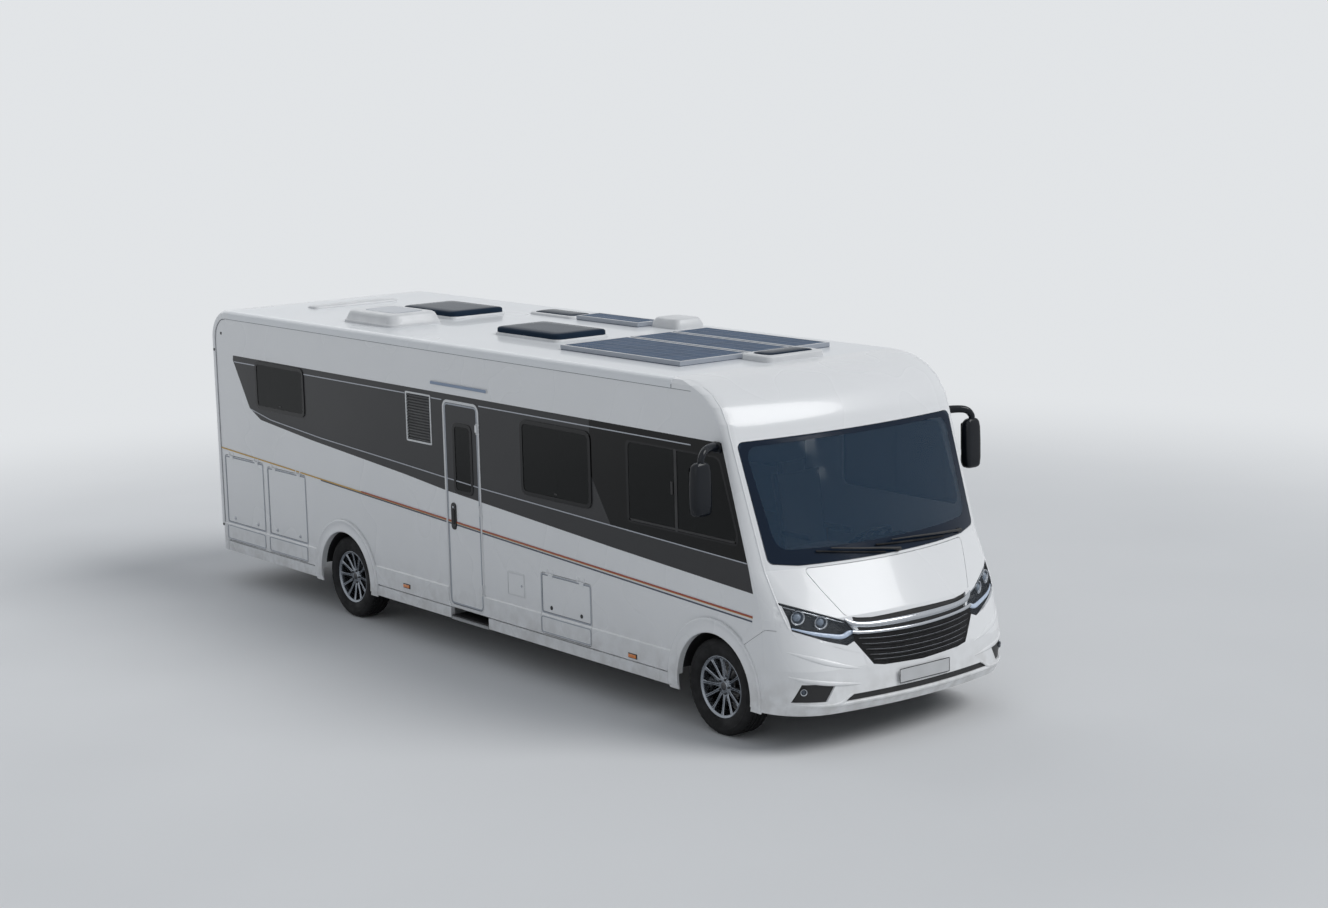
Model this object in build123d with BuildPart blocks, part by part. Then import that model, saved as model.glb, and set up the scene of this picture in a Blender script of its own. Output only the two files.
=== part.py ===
"""Integrated motorhome with a single rear axle, at its real size, in millimetres.

+X is forwards, +Y is the vehicle's left and +Z is up. The origin is on the ground, midway along
and across the vehicle. Doors, hatches and side walls are cut from one wall section, and the panels
of the nose are cut from one lofted shell, so neighbouring panels keep the same thickness and run
flush. Places along the side are measured forwards from the rear end, as "from_rear".
"""

from build123d import *

import os
from math import atan, cos, hypot, radians, sin, sqrt

os.makedirs("parts", exist_ok=True)

# Body
LENGTH = 8760.0
WIDTH = 2320.0
ROOF_Z = 2700.0
WALL = 34.0
WALL_INSET = 10.0
EDGE_BAND = 80.0
EDGE_RADIUS = 50.0
REAR_RADIUS = 300.0
PILLAR_BAND = 25.0
SEAM = 0.4
DOOR_GAP = 6.0
RIGHT, LEFT = -1, 1

# Lower side
SILL_Z = 405.0
CREASE_Z = 578.0
CREASE_SLOPE = 10.0
SKIRT_GAP = 12.0
SKIRT_LOW = 300.0
SKIRT_THICK = 26.0
SKIRT_INSET = 4.0

# Floors
FLOOR_Z = 700.0
FLOOR_THICK = 50.0
PANEL_THICK = 20.0
CAB_FLOOR_AHEAD = 220.0
GARAGE_FROM_REAR = 1750.0
GARAGE_TOP = 1320.0
GARAGE_CLEAR = 18.0

# Wheels
FRONT_OVERHANG = 1078.0
WHEELBASE = 5300.0
WHEEL_INSET = 162.0
TYRE_R = 374.0
TYRE_W = 235.0
SIDEWALL_RISE = 70.0
SHOULDER_IN = 14.0
SHOULDER_DROP = 20.0
TREAD_IN = 40.0
BEAD_RISE = 2.0
BEAD_R = 228.0
LIP_R = 240.0
RIM_W = 190.0
LIP_W = 4.0
RIM_SHELL = 8.0
HUB_R = 78.0
HUB_OUT = 20.0
HUB_DEPTH = 55.0
STUB_R = 30.0
STUB_DEPTH = 34.0
STUB_END = 4.0
STUB_GAP = 6.0
SPOKES = 10
SPOKE_FOOT = 40.0
SPOKE_SIDE = 86.0
SPOKE_OUT = 45.0
SPOKE_THICK = 28.0
SPOKE_LAP = 6.0
ARCH_R = 430.0
FLARE = 112.0
FLARE_LOW = 285.0
HOUSING_THICK = 6.0
HOUSING_LOW = 450.0
HOUSING_DEPTH_REAR = 270.0
HOUSING_DEPTH_FRONT = 470.0
KINGPIN_IN = 53.0

# Levels of the nose that the side wall's outline also follows
SCREEN_FOOT_Z = 1352.0
SCREEN_HEAD_Z = 2265.0
BROW_Z = 2400.0
FOREHEAD_Z = 2520.0
CROWN_Z = 2660.0

# The nose, from the keel to the roof. The knee is where the gently bowed middle meets the corner
# Columns: z, back of the nose tip at the centre, knee in from the side, knee's bow, back where the
# side starts, side in from the half width
NOSE = (
    (300.0, 60.0, 360.0, 85.0, 560.0, 0.0),
    (380.0, 8.0, 360.0, 85.0, 500.0, 0.0),
    (640.0, 20.0, 360.0, 85.0, 490.0, 0.0),
    (1000.0, 98.0, 260.0, 150.0, 510.0, 0.0),
    (SCREEN_FOOT_Z, 305.0, 100.0, 225.0, 620.0, 0.0),
    (SCREEN_HEAD_Z, 735.0, 70.0, 105.0, 905.0, 0.0),
    (BROW_Z, 782.0, 70.0, 105.0, 950.0, 0.0),
    (FOREHEAD_Z, 866.0, 70.0, 105.0, 1034.0, 0.0),
    (2605.0, 978.0, 70.0, 105.0, 1146.0, 0.0),
    (CROWN_Z, 1110.0, 72.0, 105.0, 1278.0, 2.0),
    (2690.0, 1250.0, 88.0, 90.0, 1400.0, 22.0),
    (2700.0, 1420.0, 110.0, 60.0, 1490.0, 50.0),
)
CAP_JOINT_BACK = 1510.0

# The wing's rear edge: z below the pillar, then ahead of the front axle and z
PILLAR_FOOT_Z = (1156.0, 1064.0)
WING_EDGE = ((455.0, 954.0), (355.0, 819.0), (255.0, 747.0))

# The bumper's top edge, level over the wheel and rising to the lamps
BUMPER_SEAM_LOW = 740.0
BUMPER_SEAM_HIGH = 930.0
BUMPER_SEAM_AHEAD = 300.0
BUMPER_SEAM_BACK = 480.0

# Skin of the nose
MASK_THICK = 30.0
GLASS_THICK = 10.0

# Panels of the nose, as seen from the front. Each is a polygon of y and z with its corner radius
PANEL_GAP = 4.0
BONNET_GAP = 5.0
GLASS_REST = 14.0
WINDSCREEN = ((-1056, 1400), (-840, 1372), (840, 1372), (1056, 1400), (1088, 2268), (-1088, 2268))
WINDSCREEN_R = 45.0
BONNET = ((-815, 1346), (-745, 1200), (-640, 1012), (640, 1012), (745, 1200), (815, 1346))
BONNET_R = 25.0
GRILLE = ((-592, 1002), (-538, 866), (-500, 630), (500, 630), (538, 866), (592, 1002))
GRILLE_R = 18.0
LAMP = ((640, 968), (1080, 1135), (1098, 960), (590, 745), (556, 862))
LAMP_R = 14.0
FOG_POCKET = ((800, 545), (1030, 545), (1085, 410), (880, 410))
LOWER_SLIT = ((-740, 395), (-660, 440), (660, 440), (740, 395))
GRILLE_SLATS = 6
SLAT_H = 12.0

# Number plates, blank
PLATE_W = 520.0
PLATE_H = 110.0
PLATE_THICK = 3.0
PLATE_CORNER = 8.0
PLATE_Z = 512.0
REAR_PLATE_Z = 470.0
HOLDER_W = 300.0
HOLDER_H = 50.0
HOLDER_DEPTH = 40.0

# Openings of the side walls
# Columns: name, from rear start and end, z low and high, corner radius
WINDOWS_RIGHT = (
    ("window", 850.0, 1755.0, 1800.0, 2255.0, 70.0),
    ("window", 5245.0, 6200.0, 1545.0, 2165.0, 80.0),
)
WINDOWS_LEFT = (
    ("window", 850.0, 1755.0, 1800.0, 2255.0, 70.0),
    ("window", 3480.0, 4440.0, 1650.0, 2165.0, 80.0),
    ("window", 5245.0, 6200.0, 1545.0, 2165.0, 80.0),
)
# Corners: back from the nose's tip, z
CAB_WINDOW = ((2105.0, 1510.0), (2105.0, 2160.0), (960.0, 2160.0), (760.0, 1585.0), (775.0, 1510.0))
CAB_WINDOW_R = 55.0
LOCKERS_RIGHT = (
    ("locker_rear_right", 143.0, 900.0, 415.0, 1260.0, 30.0),
    ("locker_axle_right", 980.0, 1700.0, 415.0, 1240.0, 30.0),
    ("locker_mid_right", 5467.0, 6153.0, 415.0, 920.0, 30.0),
)
LOCKERS_LEFT = (
    ("garage_door_left", 180.0, 1300.0, 415.0, 1260.0, 30.0),
    ("locker_mid_left", 4900.0, 5600.0, 415.0, 920.0, 30.0),
)
VENTS_RIGHT = (
    ("vent", 3510.0, 3910.0, 1790.0, 2230.0, 16.0),
)
VENTS_LEFT = (
    ("vent", 2650.0, 3050.0, 1790.0, 2090.0, 16.0),
    ("vent", 2650.0, 3050.0, 1190.0, 1490.0, 16.0),
)
FLAPS_RIGHT = (
    ("flap", 4980.0, 5235.0, 650.0, 860.0, 20.0),
)
FLAPS_LEFT = (
    ("flap", 3300.0, 3520.0, 660.0, 880.0, 20.0),
    ("flap", 3640.0, 3860.0, 660.0, 880.0, 20.0),
)
DOOR_LEAF = ("door", 4120.0, 4610.0, 436.0, 2190.0, 45.0)
DOOR_WINDOW = ("pane", 4250.0, 4515.0, 1430.0, 2020.0, 60.0)
DOOR_FRAME_W = 28.0
DOOR_FRAME_PROUD = 4.0
HANDLE_FROM_REAR = 4215.0
HANDLE_Z = 1222.0
HANDLE_W = 70.0
HANDLE_H = 214.0
PANE_THICK = 24.0
PANE_PROUD = 5.0
PANE_GAP = 2.0
VENT_FRAME = 16.0
VENT_CORNER = 6.0
LOUVRES = 11
LOUVRE_H = 14.0

# Hinges of the door and the hatches
HINGE_OUT = 9.0
HINGE_RISE = 2.0
HINGE_END_GAP = 0.6
HINGE_FROM_END = 130.0
DOOR_HINGE_Z = (620.0, 1310.0, 2010.0)
BARREL_R = 6.0
BARREL_LENGTH = 60.0
EAR_LENGTH = 16.0
PIN_R = 3.0
PIN_GAP = 0.3
LEAF_THICK = 4.0
LEAF_REACH = 34.0

# Step below the entry door
STEP_FROM_REAR = 4400.0
STEP_W = 560.0
STEP_DEPTH = 300.0
STEP_THICK = 26.0
STEP_Z = 318.0
STEP_CLEAR = 8.0
STEP_RUN = 0.4
STEP_CASE = 10.0
STEP_HANGER = 60.0
STEP_CASE_LONGER = 120.0

# Roof equipment
# Columns: name, behind the cap's joint start and end, y low and high, height above the roof
SKYLIGHTS = (
    ("rear", 5400.0, 4500.0, -120.0, 480.0, 55.0),
    ("middle", 3300.0, 2350.0, -500.0, 60.0, 55.0),
    ("front", 390.0, 40.0, -150.0, 450.0, 60.0),
)
SOLAR_PANELS = (
    ("right", 1980.0, 420.0, -730.0, -40.0, 38.0),
    ("middle", 1980.0, 420.0, 0.0, 420.0, 38.0),
    ("left", 1980.0, 420.0, 460.0, 830.0, 38.0),
    ("rear", 3610.0, 2710.0, 640.0, 900.0, 38.0),
)
COOLER = ("cooler", 5300.0, 4300.0, -900.0, -250.0, 160.0)
COOLER_R = 120.0
COOLER_EDGE = 40.0
COOLER_TAPER = 14.0
REAR_COVER = ("cover", 6500.0, 6320.0, -500.0, 450.0, 28.0)
REAR_COVER_R = 50.0
DOME_BEHIND_JOINT = 2470.0
DOME_Y = 900.0
DOME_R = 190.0
DOME_H = 90.0
DOME_TAPER = 20.0
DOME_EDGE = 30.0
FRAME_W = 35.0
SKYLIGHT_R = 70.0
SKYLIGHT_EDGE = 14.0
SKYLIGHT_TAPER = 12.0

# Rear wall, bumper and lamps
REAR_WINDOW = ((-560.0, 1560.0), (560.0, 1560.0), (560.0, 2080.0), (-560.0, 2080.0))
REAR_WINDOW_R = 80.0
REAR_BUMPER_TOP = 560.0
BUMPER_WRAP = 140.0
BUMPER_THICK = 30.0
BUMPER_CORNER = 90.0
TAIL_LAMP_IN = (340.0, 100.0)
TAIL_LAMP_Z = (350.0, 500.0)

# Light bar over the entry door, in a side table's columns
LIGHT_BAR = ("bar", 3930.0, 4780.0, 2330.0, 2362.0, 12.0)

# Mirrors: a foot on the side wall, an arm and a housing hanging from it
MIRROR_BACK = 990.0
MIRROR_FOOT_Z = 2228.0
MIRROR_FOOT = 12.0
MIRROR_FOOT_SIZE = (100.0, 80.0)
MIRROR_Y = 1400.0
MIRROR_FORWARD = 110.0
MIRROR_TOP = 2160.0
MIRROR_SIZE = (110.0, 190.0, 400.0)
MIRROR_CORNER = 40.0
MIRROR_EDGE = 22.0
MIRROR_ARM_R = 17.0
MIRROR_ARM_BEND = 50.0

# Chassis
RAIL_Y = 430.0
RAIL_W = 70.0
RAIL_H = 150.0
RAIL_WALL = 6.0
RAIL_END_BACK = 560.0
LOW_RAIL_H = 70.0
CROSS_W = 80.0
CROSS_H = 60.0
CROSS_COUNT = 7
REAR_CROSS_FROM_REAR = (380.0, 1380.0)
JACK_PADS_BEHIND_FRONT = (700.0, 3650.0)
JACK_PAD_L = 90.0
JACK_PAD_W = 60.0
JACK_PAD_H = 8.0
SILENCER_BEHIND_FRONT = (2400.0, 1700.0)
SILENCER_Y = (90.0, 330.0)
SILENCER_H = 150.0
PIPE_R = 32.0
PIPE_Z = 440.0
HANGER_W = 40.0

# Tanks beside the rails, ahead of the rear axle
TANK_AHEAD = (748.0, 1548.0)
TANK_IN = 60.0
TANK_LOW = 400.0
TANK_EDGE = 40.0

# Suspension
KNUCKLE_LOW = 262.0
KNUCKLE_HIGH = 486.0
KNUCKLE_R = 22.0
KINGPIN_R = 10.0
DISC_R = 108.0
DISC_THICK = 24.0
ARM_THICK = 26.0
ARM_SPAN = 150.0
ARM_TIP = 34.0
ARM_FRAME = 50.0
ARM_OPEN = 260.0
SUBFRAME_LENGTH = 420.0
POST_W = 60.0
DAMPER_IN = 150.0
DAMPER_R = 27.0
AXLE_R = 42.0
TRAIL_LENGTH = 620.0
TRAIL_W = 60.0
TRAIL_H = 70.0

# Engine, on mounts between the rails
ENGINE_FROM_AXLE = 240.0
ENGINE_BACK = 420.0
ENGINE_HALF = 330.0
ENGINE_Z = (430.0, 1040.0)
ENGINE_MOUNT_W = 90.0
ENGINE_MOUNT_H = 40.0

# Cab
DASH_TOP = 1300.0
DASH_H = 260.0
DASH_BACK_FROM_NOSE = 960.0
DASH_NOSE = 440.0
DASH_SHOULDER = 700.0
DASH_EDGE = 60.0
WHEEL_BEHIND_DASH = 90.0
WHEEL_SIDE = 440.0
WHEEL_Z = 1290.0
WHEEL_RING = 190.0
WHEEL_GRIP = 30.0
WHEEL_HUB = 60.0
WHEEL_SPOKE = 50.0
WHEEL_THICK = 26.0
WHEEL_TILT = 55.0
COLUMN_R = 28.0
COLUMN_LENGTH = 170.0
SEAT_BEHIND_DASH = 640.0
SEAT_Y = 440.0
SEAT_W = 500.0
# Corners of a seat from the side: ahead of its middle, above the floor
SEAT_OUTLINE = (
    (-150.0, 0.0),
    (-150.0, 320.0),
    (-270.0, 340.0),
    (-420.0, 1060.0),
    (-300.0, 1080.0),
    (-130.0, 460.0),
    (250.0, 480.0),
    (270.0, 340.0),
    (150.0, 320.0),
    (150.0, 0.0),
)

# Furniture: from rear start and end, y low and high, above the floor low and high
FURNITURE = (
    ("kitchen", 2700.0, 3900.0, -1100.0, -560.0, 0.0, 900.0),
    ("bench", 5650.0, 6500.0, 480.0, 1100.0, 0.0, 450.0),
    ("wardrobe", 1900.0, 2600.0, 500.0, 1100.0, 140.0, 1800.0),
)
LOCKER_DEPTH = 520.0
WELL_DEPTH = 300.0
WELL_Z = 440.0

# Wipers: from post to tip along y
WIPER_R = 9.0
WIPER_OUT = 24.0
WIPER_RUNS = ((-120.0, -900.0), (760.0, -20.0))
WIPER_Z = (1392.0, 1404.0, 1432.0)

# Derived places
HALF = WIDTH / 2
X_FRONT = LENGTH / 2
X_REAR = -LENGTH / 2
WALL_FACE = HALF - WALL_INSET
WALL_BACK = WALL_FACE - WALL
RAIL_Z = FLOOR_Z - FLOOR_THICK - RAIL_H / 2
CAP_JOINT = X_FRONT - CAP_JOINT_BACK
FRONT_AXLE = X_FRONT - FRONT_OVERHANG
REAR_AXLE = FRONT_AXLE - WHEELBASE
WHEEL_Y = HALF - WHEEL_INSET
KINGPIN_Y = WHEEL_Y - KINGPIN_IN
HUB_BACK = WHEEL_Y + HUB_OUT
BEAD_Y = RIM_W / 2 - LIP_W - SEAM
REACH = WIDTH
MIRROR_ROOT = X_FRONT - MIRROR_BACK
RAIL_END = X_FRONT - RAIL_END_BACK
RAIL_OUT = RAIL_Y + RAIL_W / 2
RAIL_LOW = RAIL_Z - RAIL_H / 2
WEB_IN = RAIL_OUT - RAIL_WALL
ROOF_SPLIT = X_REAR + REAR_RADIUS + EDGE_BAND
DASH_BACK = X_FRONT - DASH_BACK_FROM_NOSE
FLOOR_UNDER = FLOOR_Z - FLOOR_THICK
FLOOR_START = X_REAR + GARAGE_FROM_REAR
FLOOR_MIDDLE = WALL_BACK - LOCKER_DEPTH
GARAGE_FLOOR = SILL_Z - 2 * SEAM
SKIRT_FACE = HALF - SKIRT_INSET
STEP_X = X_REAR + STEP_FROM_REAR
BUMPER_SEAM = (
    (FRONT_AXLE, BUMPER_SEAM_LOW),
    (FRONT_AXLE + BUMPER_SEAM_AHEAD, BUMPER_SEAM_LOW),
    (X_FRONT - BUMPER_SEAM_BACK, BUMPER_SEAM_HIGH),
    (X_FRONT + REACH, BUMPER_SEAM_HIGH),
)
DOOR_FRAME = (
    "frame",
    DOOR_LEAF[1] - DOOR_FRAME_W,
    DOOR_LEAF[2] + DOOR_FRAME_W,
    DOOR_LEAF[3] - DOOR_FRAME_W,
    DOOR_LEAF[4] + DOOR_FRAME_W,
    DOOR_LEAF[5] + DOOR_FRAME_W,
)
SIDES = (("right", RIGHT), ("left", LEFT))
AXLES = (("front", FRONT_AXLE, HOUSING_DEPTH_FRONT), ("rear", REAR_AXLE, HOUSING_DEPTH_REAR))


def side_plane(side, y):
    """The upright plane at distance y from the middle on one side."""
    return Plane.XZ.offset(-side * y)


def nose_level(index, inset, deep):
    """One level plan outline of the nose, moved inwards along the centre profile's normal."""
    z, back, knee_in, knee_bow, side_back, side_in = NOSE[index]
    low = NOSE[max(index - 1, 0)]
    high = NOSE[min(index + 1, len(NOSE) - 1)]
    run = high[1] - low[1]
    rise = high[0] - low[0]
    nx = rise / hypot(run, rise)
    nz = run / hypot(run, rise)
    if index == 0:
        nx, nz, z = 1.0, 0.0, z - deep
    if index == len(NOSE) - 1:
        nx, nz = 0.0, 1.0
    x = X_FRONT - back - inset * nx
    x_side = X_FRONT - side_back - inset * nx
    x_back = CAP_JOINT - deep
    half = HALF - side_in - inset
    knee_y = HALF - knee_in - inset
    turn = 2 * atan(knee_bow / knee_y)
    with BuildSketch(Plane.XY.offset(z - inset * nz)) as plan:
        with BuildLine():
            ThreePointArc((x - knee_bow, -knee_y), (x, 0), (x - knee_bow, knee_y))
            TangentArc((x - knee_bow, knee_y), (x_side, half), tangent=(-sin(turn), cos(turn)))
            Polyline((x_side, half), (x_back, half), (x_back, -half), (x_side, -half))
            TangentArc((x - knee_bow, -knee_y), (x_side, -half), tangent=(-sin(turn), -cos(turn)))
        make_face()
    return plan.sketch


def nose_loft(inset, deep=0.0):
    """The nose as a solid, set inwards by inset. deep lets it run out behind and below."""
    with BuildPart() as loft_part:
        for index in range(len(NOSE)):
            add(nose_level(index, inset, deep))
        loft(ruled=True)
    return loft_part.part


def front_prism(points, radius, grow=0.0, side=LEFT):
    """A polygon drawn as seen from the front and run along the whole nose."""
    with BuildPart() as prism:
        with BuildSketch(Plane.YZ.offset(CAP_JOINT)):
            with BuildLine():
                Polyline(*[(side * y, z) for y, z in points], close=True)
            make_face()
            if radius:
                fillet(vertices(), radius)
            if grow:
                offset(amount=grow)
        extrude(amount=X_FRONT - CAP_JOINT + REACH)
    return prism.part


def side_prism(row, side, grow, y_in, y_out):
    """A row's rounded rectangle, cut through the side between two distances from the middle."""
    _, start, end, low, high, radius = row
    with BuildPart() as prism:
        with BuildSketch(side_plane(side, y_in)):
            with Locations((X_REAR + (start + end) / 2, (low + high) / 2)):
                RectangleRounded(end - start + 2 * grow, high - low + 2 * grow, radius + grow)
        extrude(amount=-side * (y_out - y_in))
    return prism.part


def cab_prism(side, grow, y_in, y_out):
    """The cab side window's slanted outline, cut through the side."""
    with BuildPart() as prism:
        with BuildSketch(side_plane(side, y_in)):
            with BuildLine():
                Polyline(*[(X_FRONT - back, z) for back, z in CAB_WINDOW], close=True)
            make_face()
            fillet(vertices(), CAB_WINDOW_R)
            if grow:
                offset(amount=grow)
        extrude(amount=-side * (y_out - y_in))
    return prism.part


def wheel_cylinder(x, side, radius, y_in, y_out):
    """A cylinder about a wheel's axle line between two distances from the middle."""
    with BuildPart() as cylinder:
        with BuildSketch(side_plane(side, y_in)):
            with Locations((x, TYRE_R)):
                Circle(radius)
        extrude(amount=-side * (y_out - y_in))
    return cylinder.part


def box_between(x0, x1, y0, y1, z0, z1):
    """A box given by its two limits along each axis."""
    with BuildPart() as box:
        with Locations(((x0 + x1) / 2, (y0 + y1) / 2, (z0 + z1) / 2)):
            Box(x1 - x0, y1 - y0, z1 - z0)
    return box.part


def box_about(x, length, y0, y1, z0, z1):
    """A box of a length centred on x, given by its two limits along the other axes."""
    return box_between(x - length / 2, x + length / 2, y0, y1, z0, z1)


def wall_zone(side, grow, y_in, y_out):
    """The side wall's outline, inside the edge bands, the forehead and the pillar."""
    top = ROOF_Z - EDGE_BAND
    at_side = {row[0]: X_FRONT - row[4] for row in NOSE}
    points = (
        (X_REAR + EDGE_BAND, SILL_Z),
        (X_REAR + EDGE_BAND, top),
        (at_side[CROWN_Z], top),
        (at_side[FOREHEAD_Z] - EDGE_RADIUS, FOREHEAD_Z - PILLAR_BAND),
        (at_side[BROW_Z] - PILLAR_BAND, BROW_Z - PILLAR_BAND),
        (at_side[SCREEN_HEAD_Z] - PILLAR_BAND, SCREEN_HEAD_Z),
        (at_side[SCREEN_FOOT_Z] - PILLAR_BAND, SCREEN_FOOT_Z),
        *[(at_side[SCREEN_FOOT_Z] + PILLAR_BAND, z) for z in PILLAR_FOOT_Z],
        *[(FRONT_AXLE + ahead, z) for ahead, z in WING_EDGE],
        (FRONT_AXLE, TYRE_R),
        (FRONT_AXLE, SILL_Z),
    )
    with BuildPart() as zone:
        with BuildSketch(side_plane(side, y_in)) as sketch:
            with BuildLine():
                Polyline(*points, close=True)
            make_face()
            corner = sketch.vertices().sort_by_distance((X_REAR, ROOF_Z, 0))[0]
            fillet(corner, REAR_RADIUS - EDGE_BAND)
            if grow:
                offset(amount=grow, kind=Kind.INTERSECTION)
        extrude(amount=-side * (y_out - y_in))
    return zone.part


def wall_blank(side, creased=True):
    """The wall section before any opening is cut, with the raised moulding along its foot."""
    with BuildPart() as blank:
        add(wall_zone(side, 0.0, WALL_BACK, WALL_FACE))
        if creased:
            with BuildSketch(Plane.YZ.offset(X_REAR + EDGE_BAND)):
                with BuildLine():
                    Polyline(
                        (side * WALL_FACE, SILL_Z),
                        (side * HALF, SILL_Z),
                        (side * HALF, CREASE_Z - CREASE_SLOPE),
                        (side * WALL_FACE, CREASE_Z),
                        close=True,
                    )
                make_face()
            extrude(amount=FRONT_AXLE - X_REAR - EDGE_BAND)
            for _, axle, _ in AXLES:
                add(wheel_cylinder(axle, side, ARCH_R + FLARE + SEAM, WALL_FACE, REACH), mode=Mode.SUBTRACT)
        for _, axle, _ in AXLES:
            add(wheel_cylinder(axle, side, ARCH_R, 0.0, REACH), mode=Mode.SUBTRACT)
    return blank.part


def hinge_halves(origin, along, outward, fixed_lift=0.0):
    """A butt hinge: the moving leaf with its barrel, and the fixed leaf with its ears and pin."""
    frame = Plane(origin=origin, x_dir=along, z_dir=outward)
    ear_at = BARREL_LENGTH / 2 + HINGE_END_GAP + EAR_LENGTH / 2
    with BuildPart(frame) as moving:
        with Locations((0, -LEAF_REACH / 2, LEAF_THICK / 2 - HINGE_OUT)):
            Box(BARREL_LENGTH, LEAF_REACH, LEAF_THICK)
        Cylinder(BARREL_R, BARREL_LENGTH, rotation=(0, 90, 0))
        Cylinder(PIN_R + PIN_GAP, BARREL_LENGTH, rotation=(0, 90, 0), mode=Mode.SUBTRACT)
    with BuildPart(frame) as fixed:
        with Locations((-ear_at, 0, 0), (ear_at, 0, 0)):
            Cylinder(BARREL_R, EAR_LENGTH, rotation=(0, 90, 0))
        with Locations((-ear_at, LEAF_REACH / 2, LEAF_THICK / 2 - HINGE_OUT + fixed_lift),
                       (ear_at, LEAF_REACH / 2, LEAF_THICK / 2 - HINGE_OUT + fixed_lift)):
            Box(EAR_LENGTH, LEAF_REACH, LEAF_THICK)
        Cylinder(PIN_R, 2 * ear_at, rotation=(0, 90, 0))
    return moving.part, fixed.part


def hatch_hinges(row, side):
    """Two hinges along a hatch's top edge."""
    _, start, end, _, high, _ = row
    halves = []
    for share in (-1, 1):
        x = X_REAR + (start + end) / 2 + share * ((end - start) / 2 - HINGE_FROM_END)
        origin = (x, side * (WALL_FACE + HINGE_OUT), high + HINGE_RISE)
        halves.append(hinge_halves(origin, (-side, 0, 0), (0, side, 0)))
    return [pair[0] for pair in halves], [pair[1] for pair in halves]


def door_hinges():
    """Three hinges along the entry door's front edge, on its trim."""
    x = X_REAR + DOOR_LEAF[2] + HINGE_RISE
    y = RIGHT * (WALL_FACE + HINGE_OUT)
    halves = []
    for z in DOOR_HINGE_Z:
        halves.append(hinge_halves((x, y, z), (0, 0, -1), (0, RIGHT, 0), DOOR_FRAME_PROUD))
    return [pair[0] for pair in halves], [pair[1] for pair in halves]


# Nose layers and the panels let into them
nose_outer = nose_loft(0.0)
nose_middle = nose_loft(GLASS_THICK, MASK_THICK)
nose_inner = nose_loft(MASK_THICK, 2 * MASK_THICK)
nose_face = nose_outer - nose_middle
nose_core = (nose_middle - nose_inner) & nose_outer
below_joint = box_between(CAP_JOINT - REACH, FRONT_AXLE, -REACH, REACH, 0, FLOOR_Z + EDGE_BAND)
for _, side in SIDES:
    side_room = wall_zone(side, SEAM, WALL_BACK - EDGE_BAND, REACH)
    side_room += wheel_cylinder(FRONT_AXLE, side, ARCH_R + FLARE + SEAM, WALL_BACK - EDGE_BAND, REACH)
    nose_face -= side_room
    nose_core -= side_room
nose_face -= below_joint
nose_core -= below_joint

# Panels let into the nose: outline, corner radius, gap round the face, gap round the core, sides
NOSE_PANELS = (
    (WINDSCREEN, WINDSCREEN_R, PANEL_GAP, -GLASS_REST, (LEFT,)),
    (BONNET, BONNET_R, BONNET_GAP, SEAM, (LEFT,)),
    (GRILLE, GRILLE_R, PANEL_GAP, SEAM, (LEFT,)),
    (LAMP, LAMP_R, PANEL_GAP, SEAM, (RIGHT, LEFT)),
)


def open_layer(layer, gap_column):
    """A layer of the nose with every panel's opening cut by its gap."""
    with BuildPart() as opened:
        add(layer)
        for row in NOSE_PANELS:
            for side in row[4]:
                add(front_prism(row[0], row[1], row[gap_column], side), mode=Mode.SUBTRACT)
    return opened.part


face_opened = open_layer(nose_face, 2)
core_opened = open_layer(nose_core, 3)

# Windscreen
with BuildPart() as windscreen:
    add(nose_face)
    add(front_prism(WINDSCREEN, WINDSCREEN_R), mode=Mode.INTERSECT)
windscreen.part.label = "windscreen"
export_step(windscreen.part, "parts/windscreen.step")

# Bonnet
with BuildPart() as bonnet:
    add([nose_face, nose_core])
    add(front_prism(BONNET, BONNET_R), mode=Mode.INTERSECT)
bonnet.part.label = "bonnet"
export_step(bonnet.part, "parts/bonnet.step")

# Front cap: forehead, pillars and wings, down to the bumper's top edge


def bumper_zone(grow):
    """The room below the bumper's top edge, seen from the side and run across the nose."""
    with BuildPart() as zone:
        with BuildSketch(side_plane(LEFT, REACH)):
            with BuildLine():
                Polyline(*BUMPER_SEAM, (X_FRONT + REACH, 0.0), (FRONT_AXLE, 0.0), close=True)
            make_face()
            if grow:
                offset(amount=grow)
        extrude(amount=2 * REACH)
    return zone.part


with BuildPart() as front_cap:
    add(face_opened)
    add(bumper_zone(PANEL_GAP), mode=Mode.SUBTRACT)
    cap_core = core_opened - bumper_zone(SEAM)
    add(cap_core)
front_cap.part.label = "front_cap"
export_step(front_cap.part, "parts/front_cap.step")

# Front bumper with the plate's holder
with BuildPart() as front_bumper:
    add([face_opened, core_opened])
    add(bumper_zone(0.0), mode=Mode.INTERSECT)
    add(box_between(X_FRONT - HOLDER_DEPTH, X_FRONT - PLATE_THICK, -HOLDER_W / 2, HOLDER_W / 2,
                    PLATE_Z - HOLDER_H / 2, PLATE_Z + HOLDER_H / 2))
    add(front_prism(LOWER_SLIT, 0.0), mode=Mode.SUBTRACT)
    for _, side in SIDES:
        add(front_prism(FOG_POCKET, 0.0, 0.0, side), mode=Mode.SUBTRACT)
front_bumper.part.label = "front_bumper"
export_step(front_bumper.part, "parts/front_bumper.step")

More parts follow.
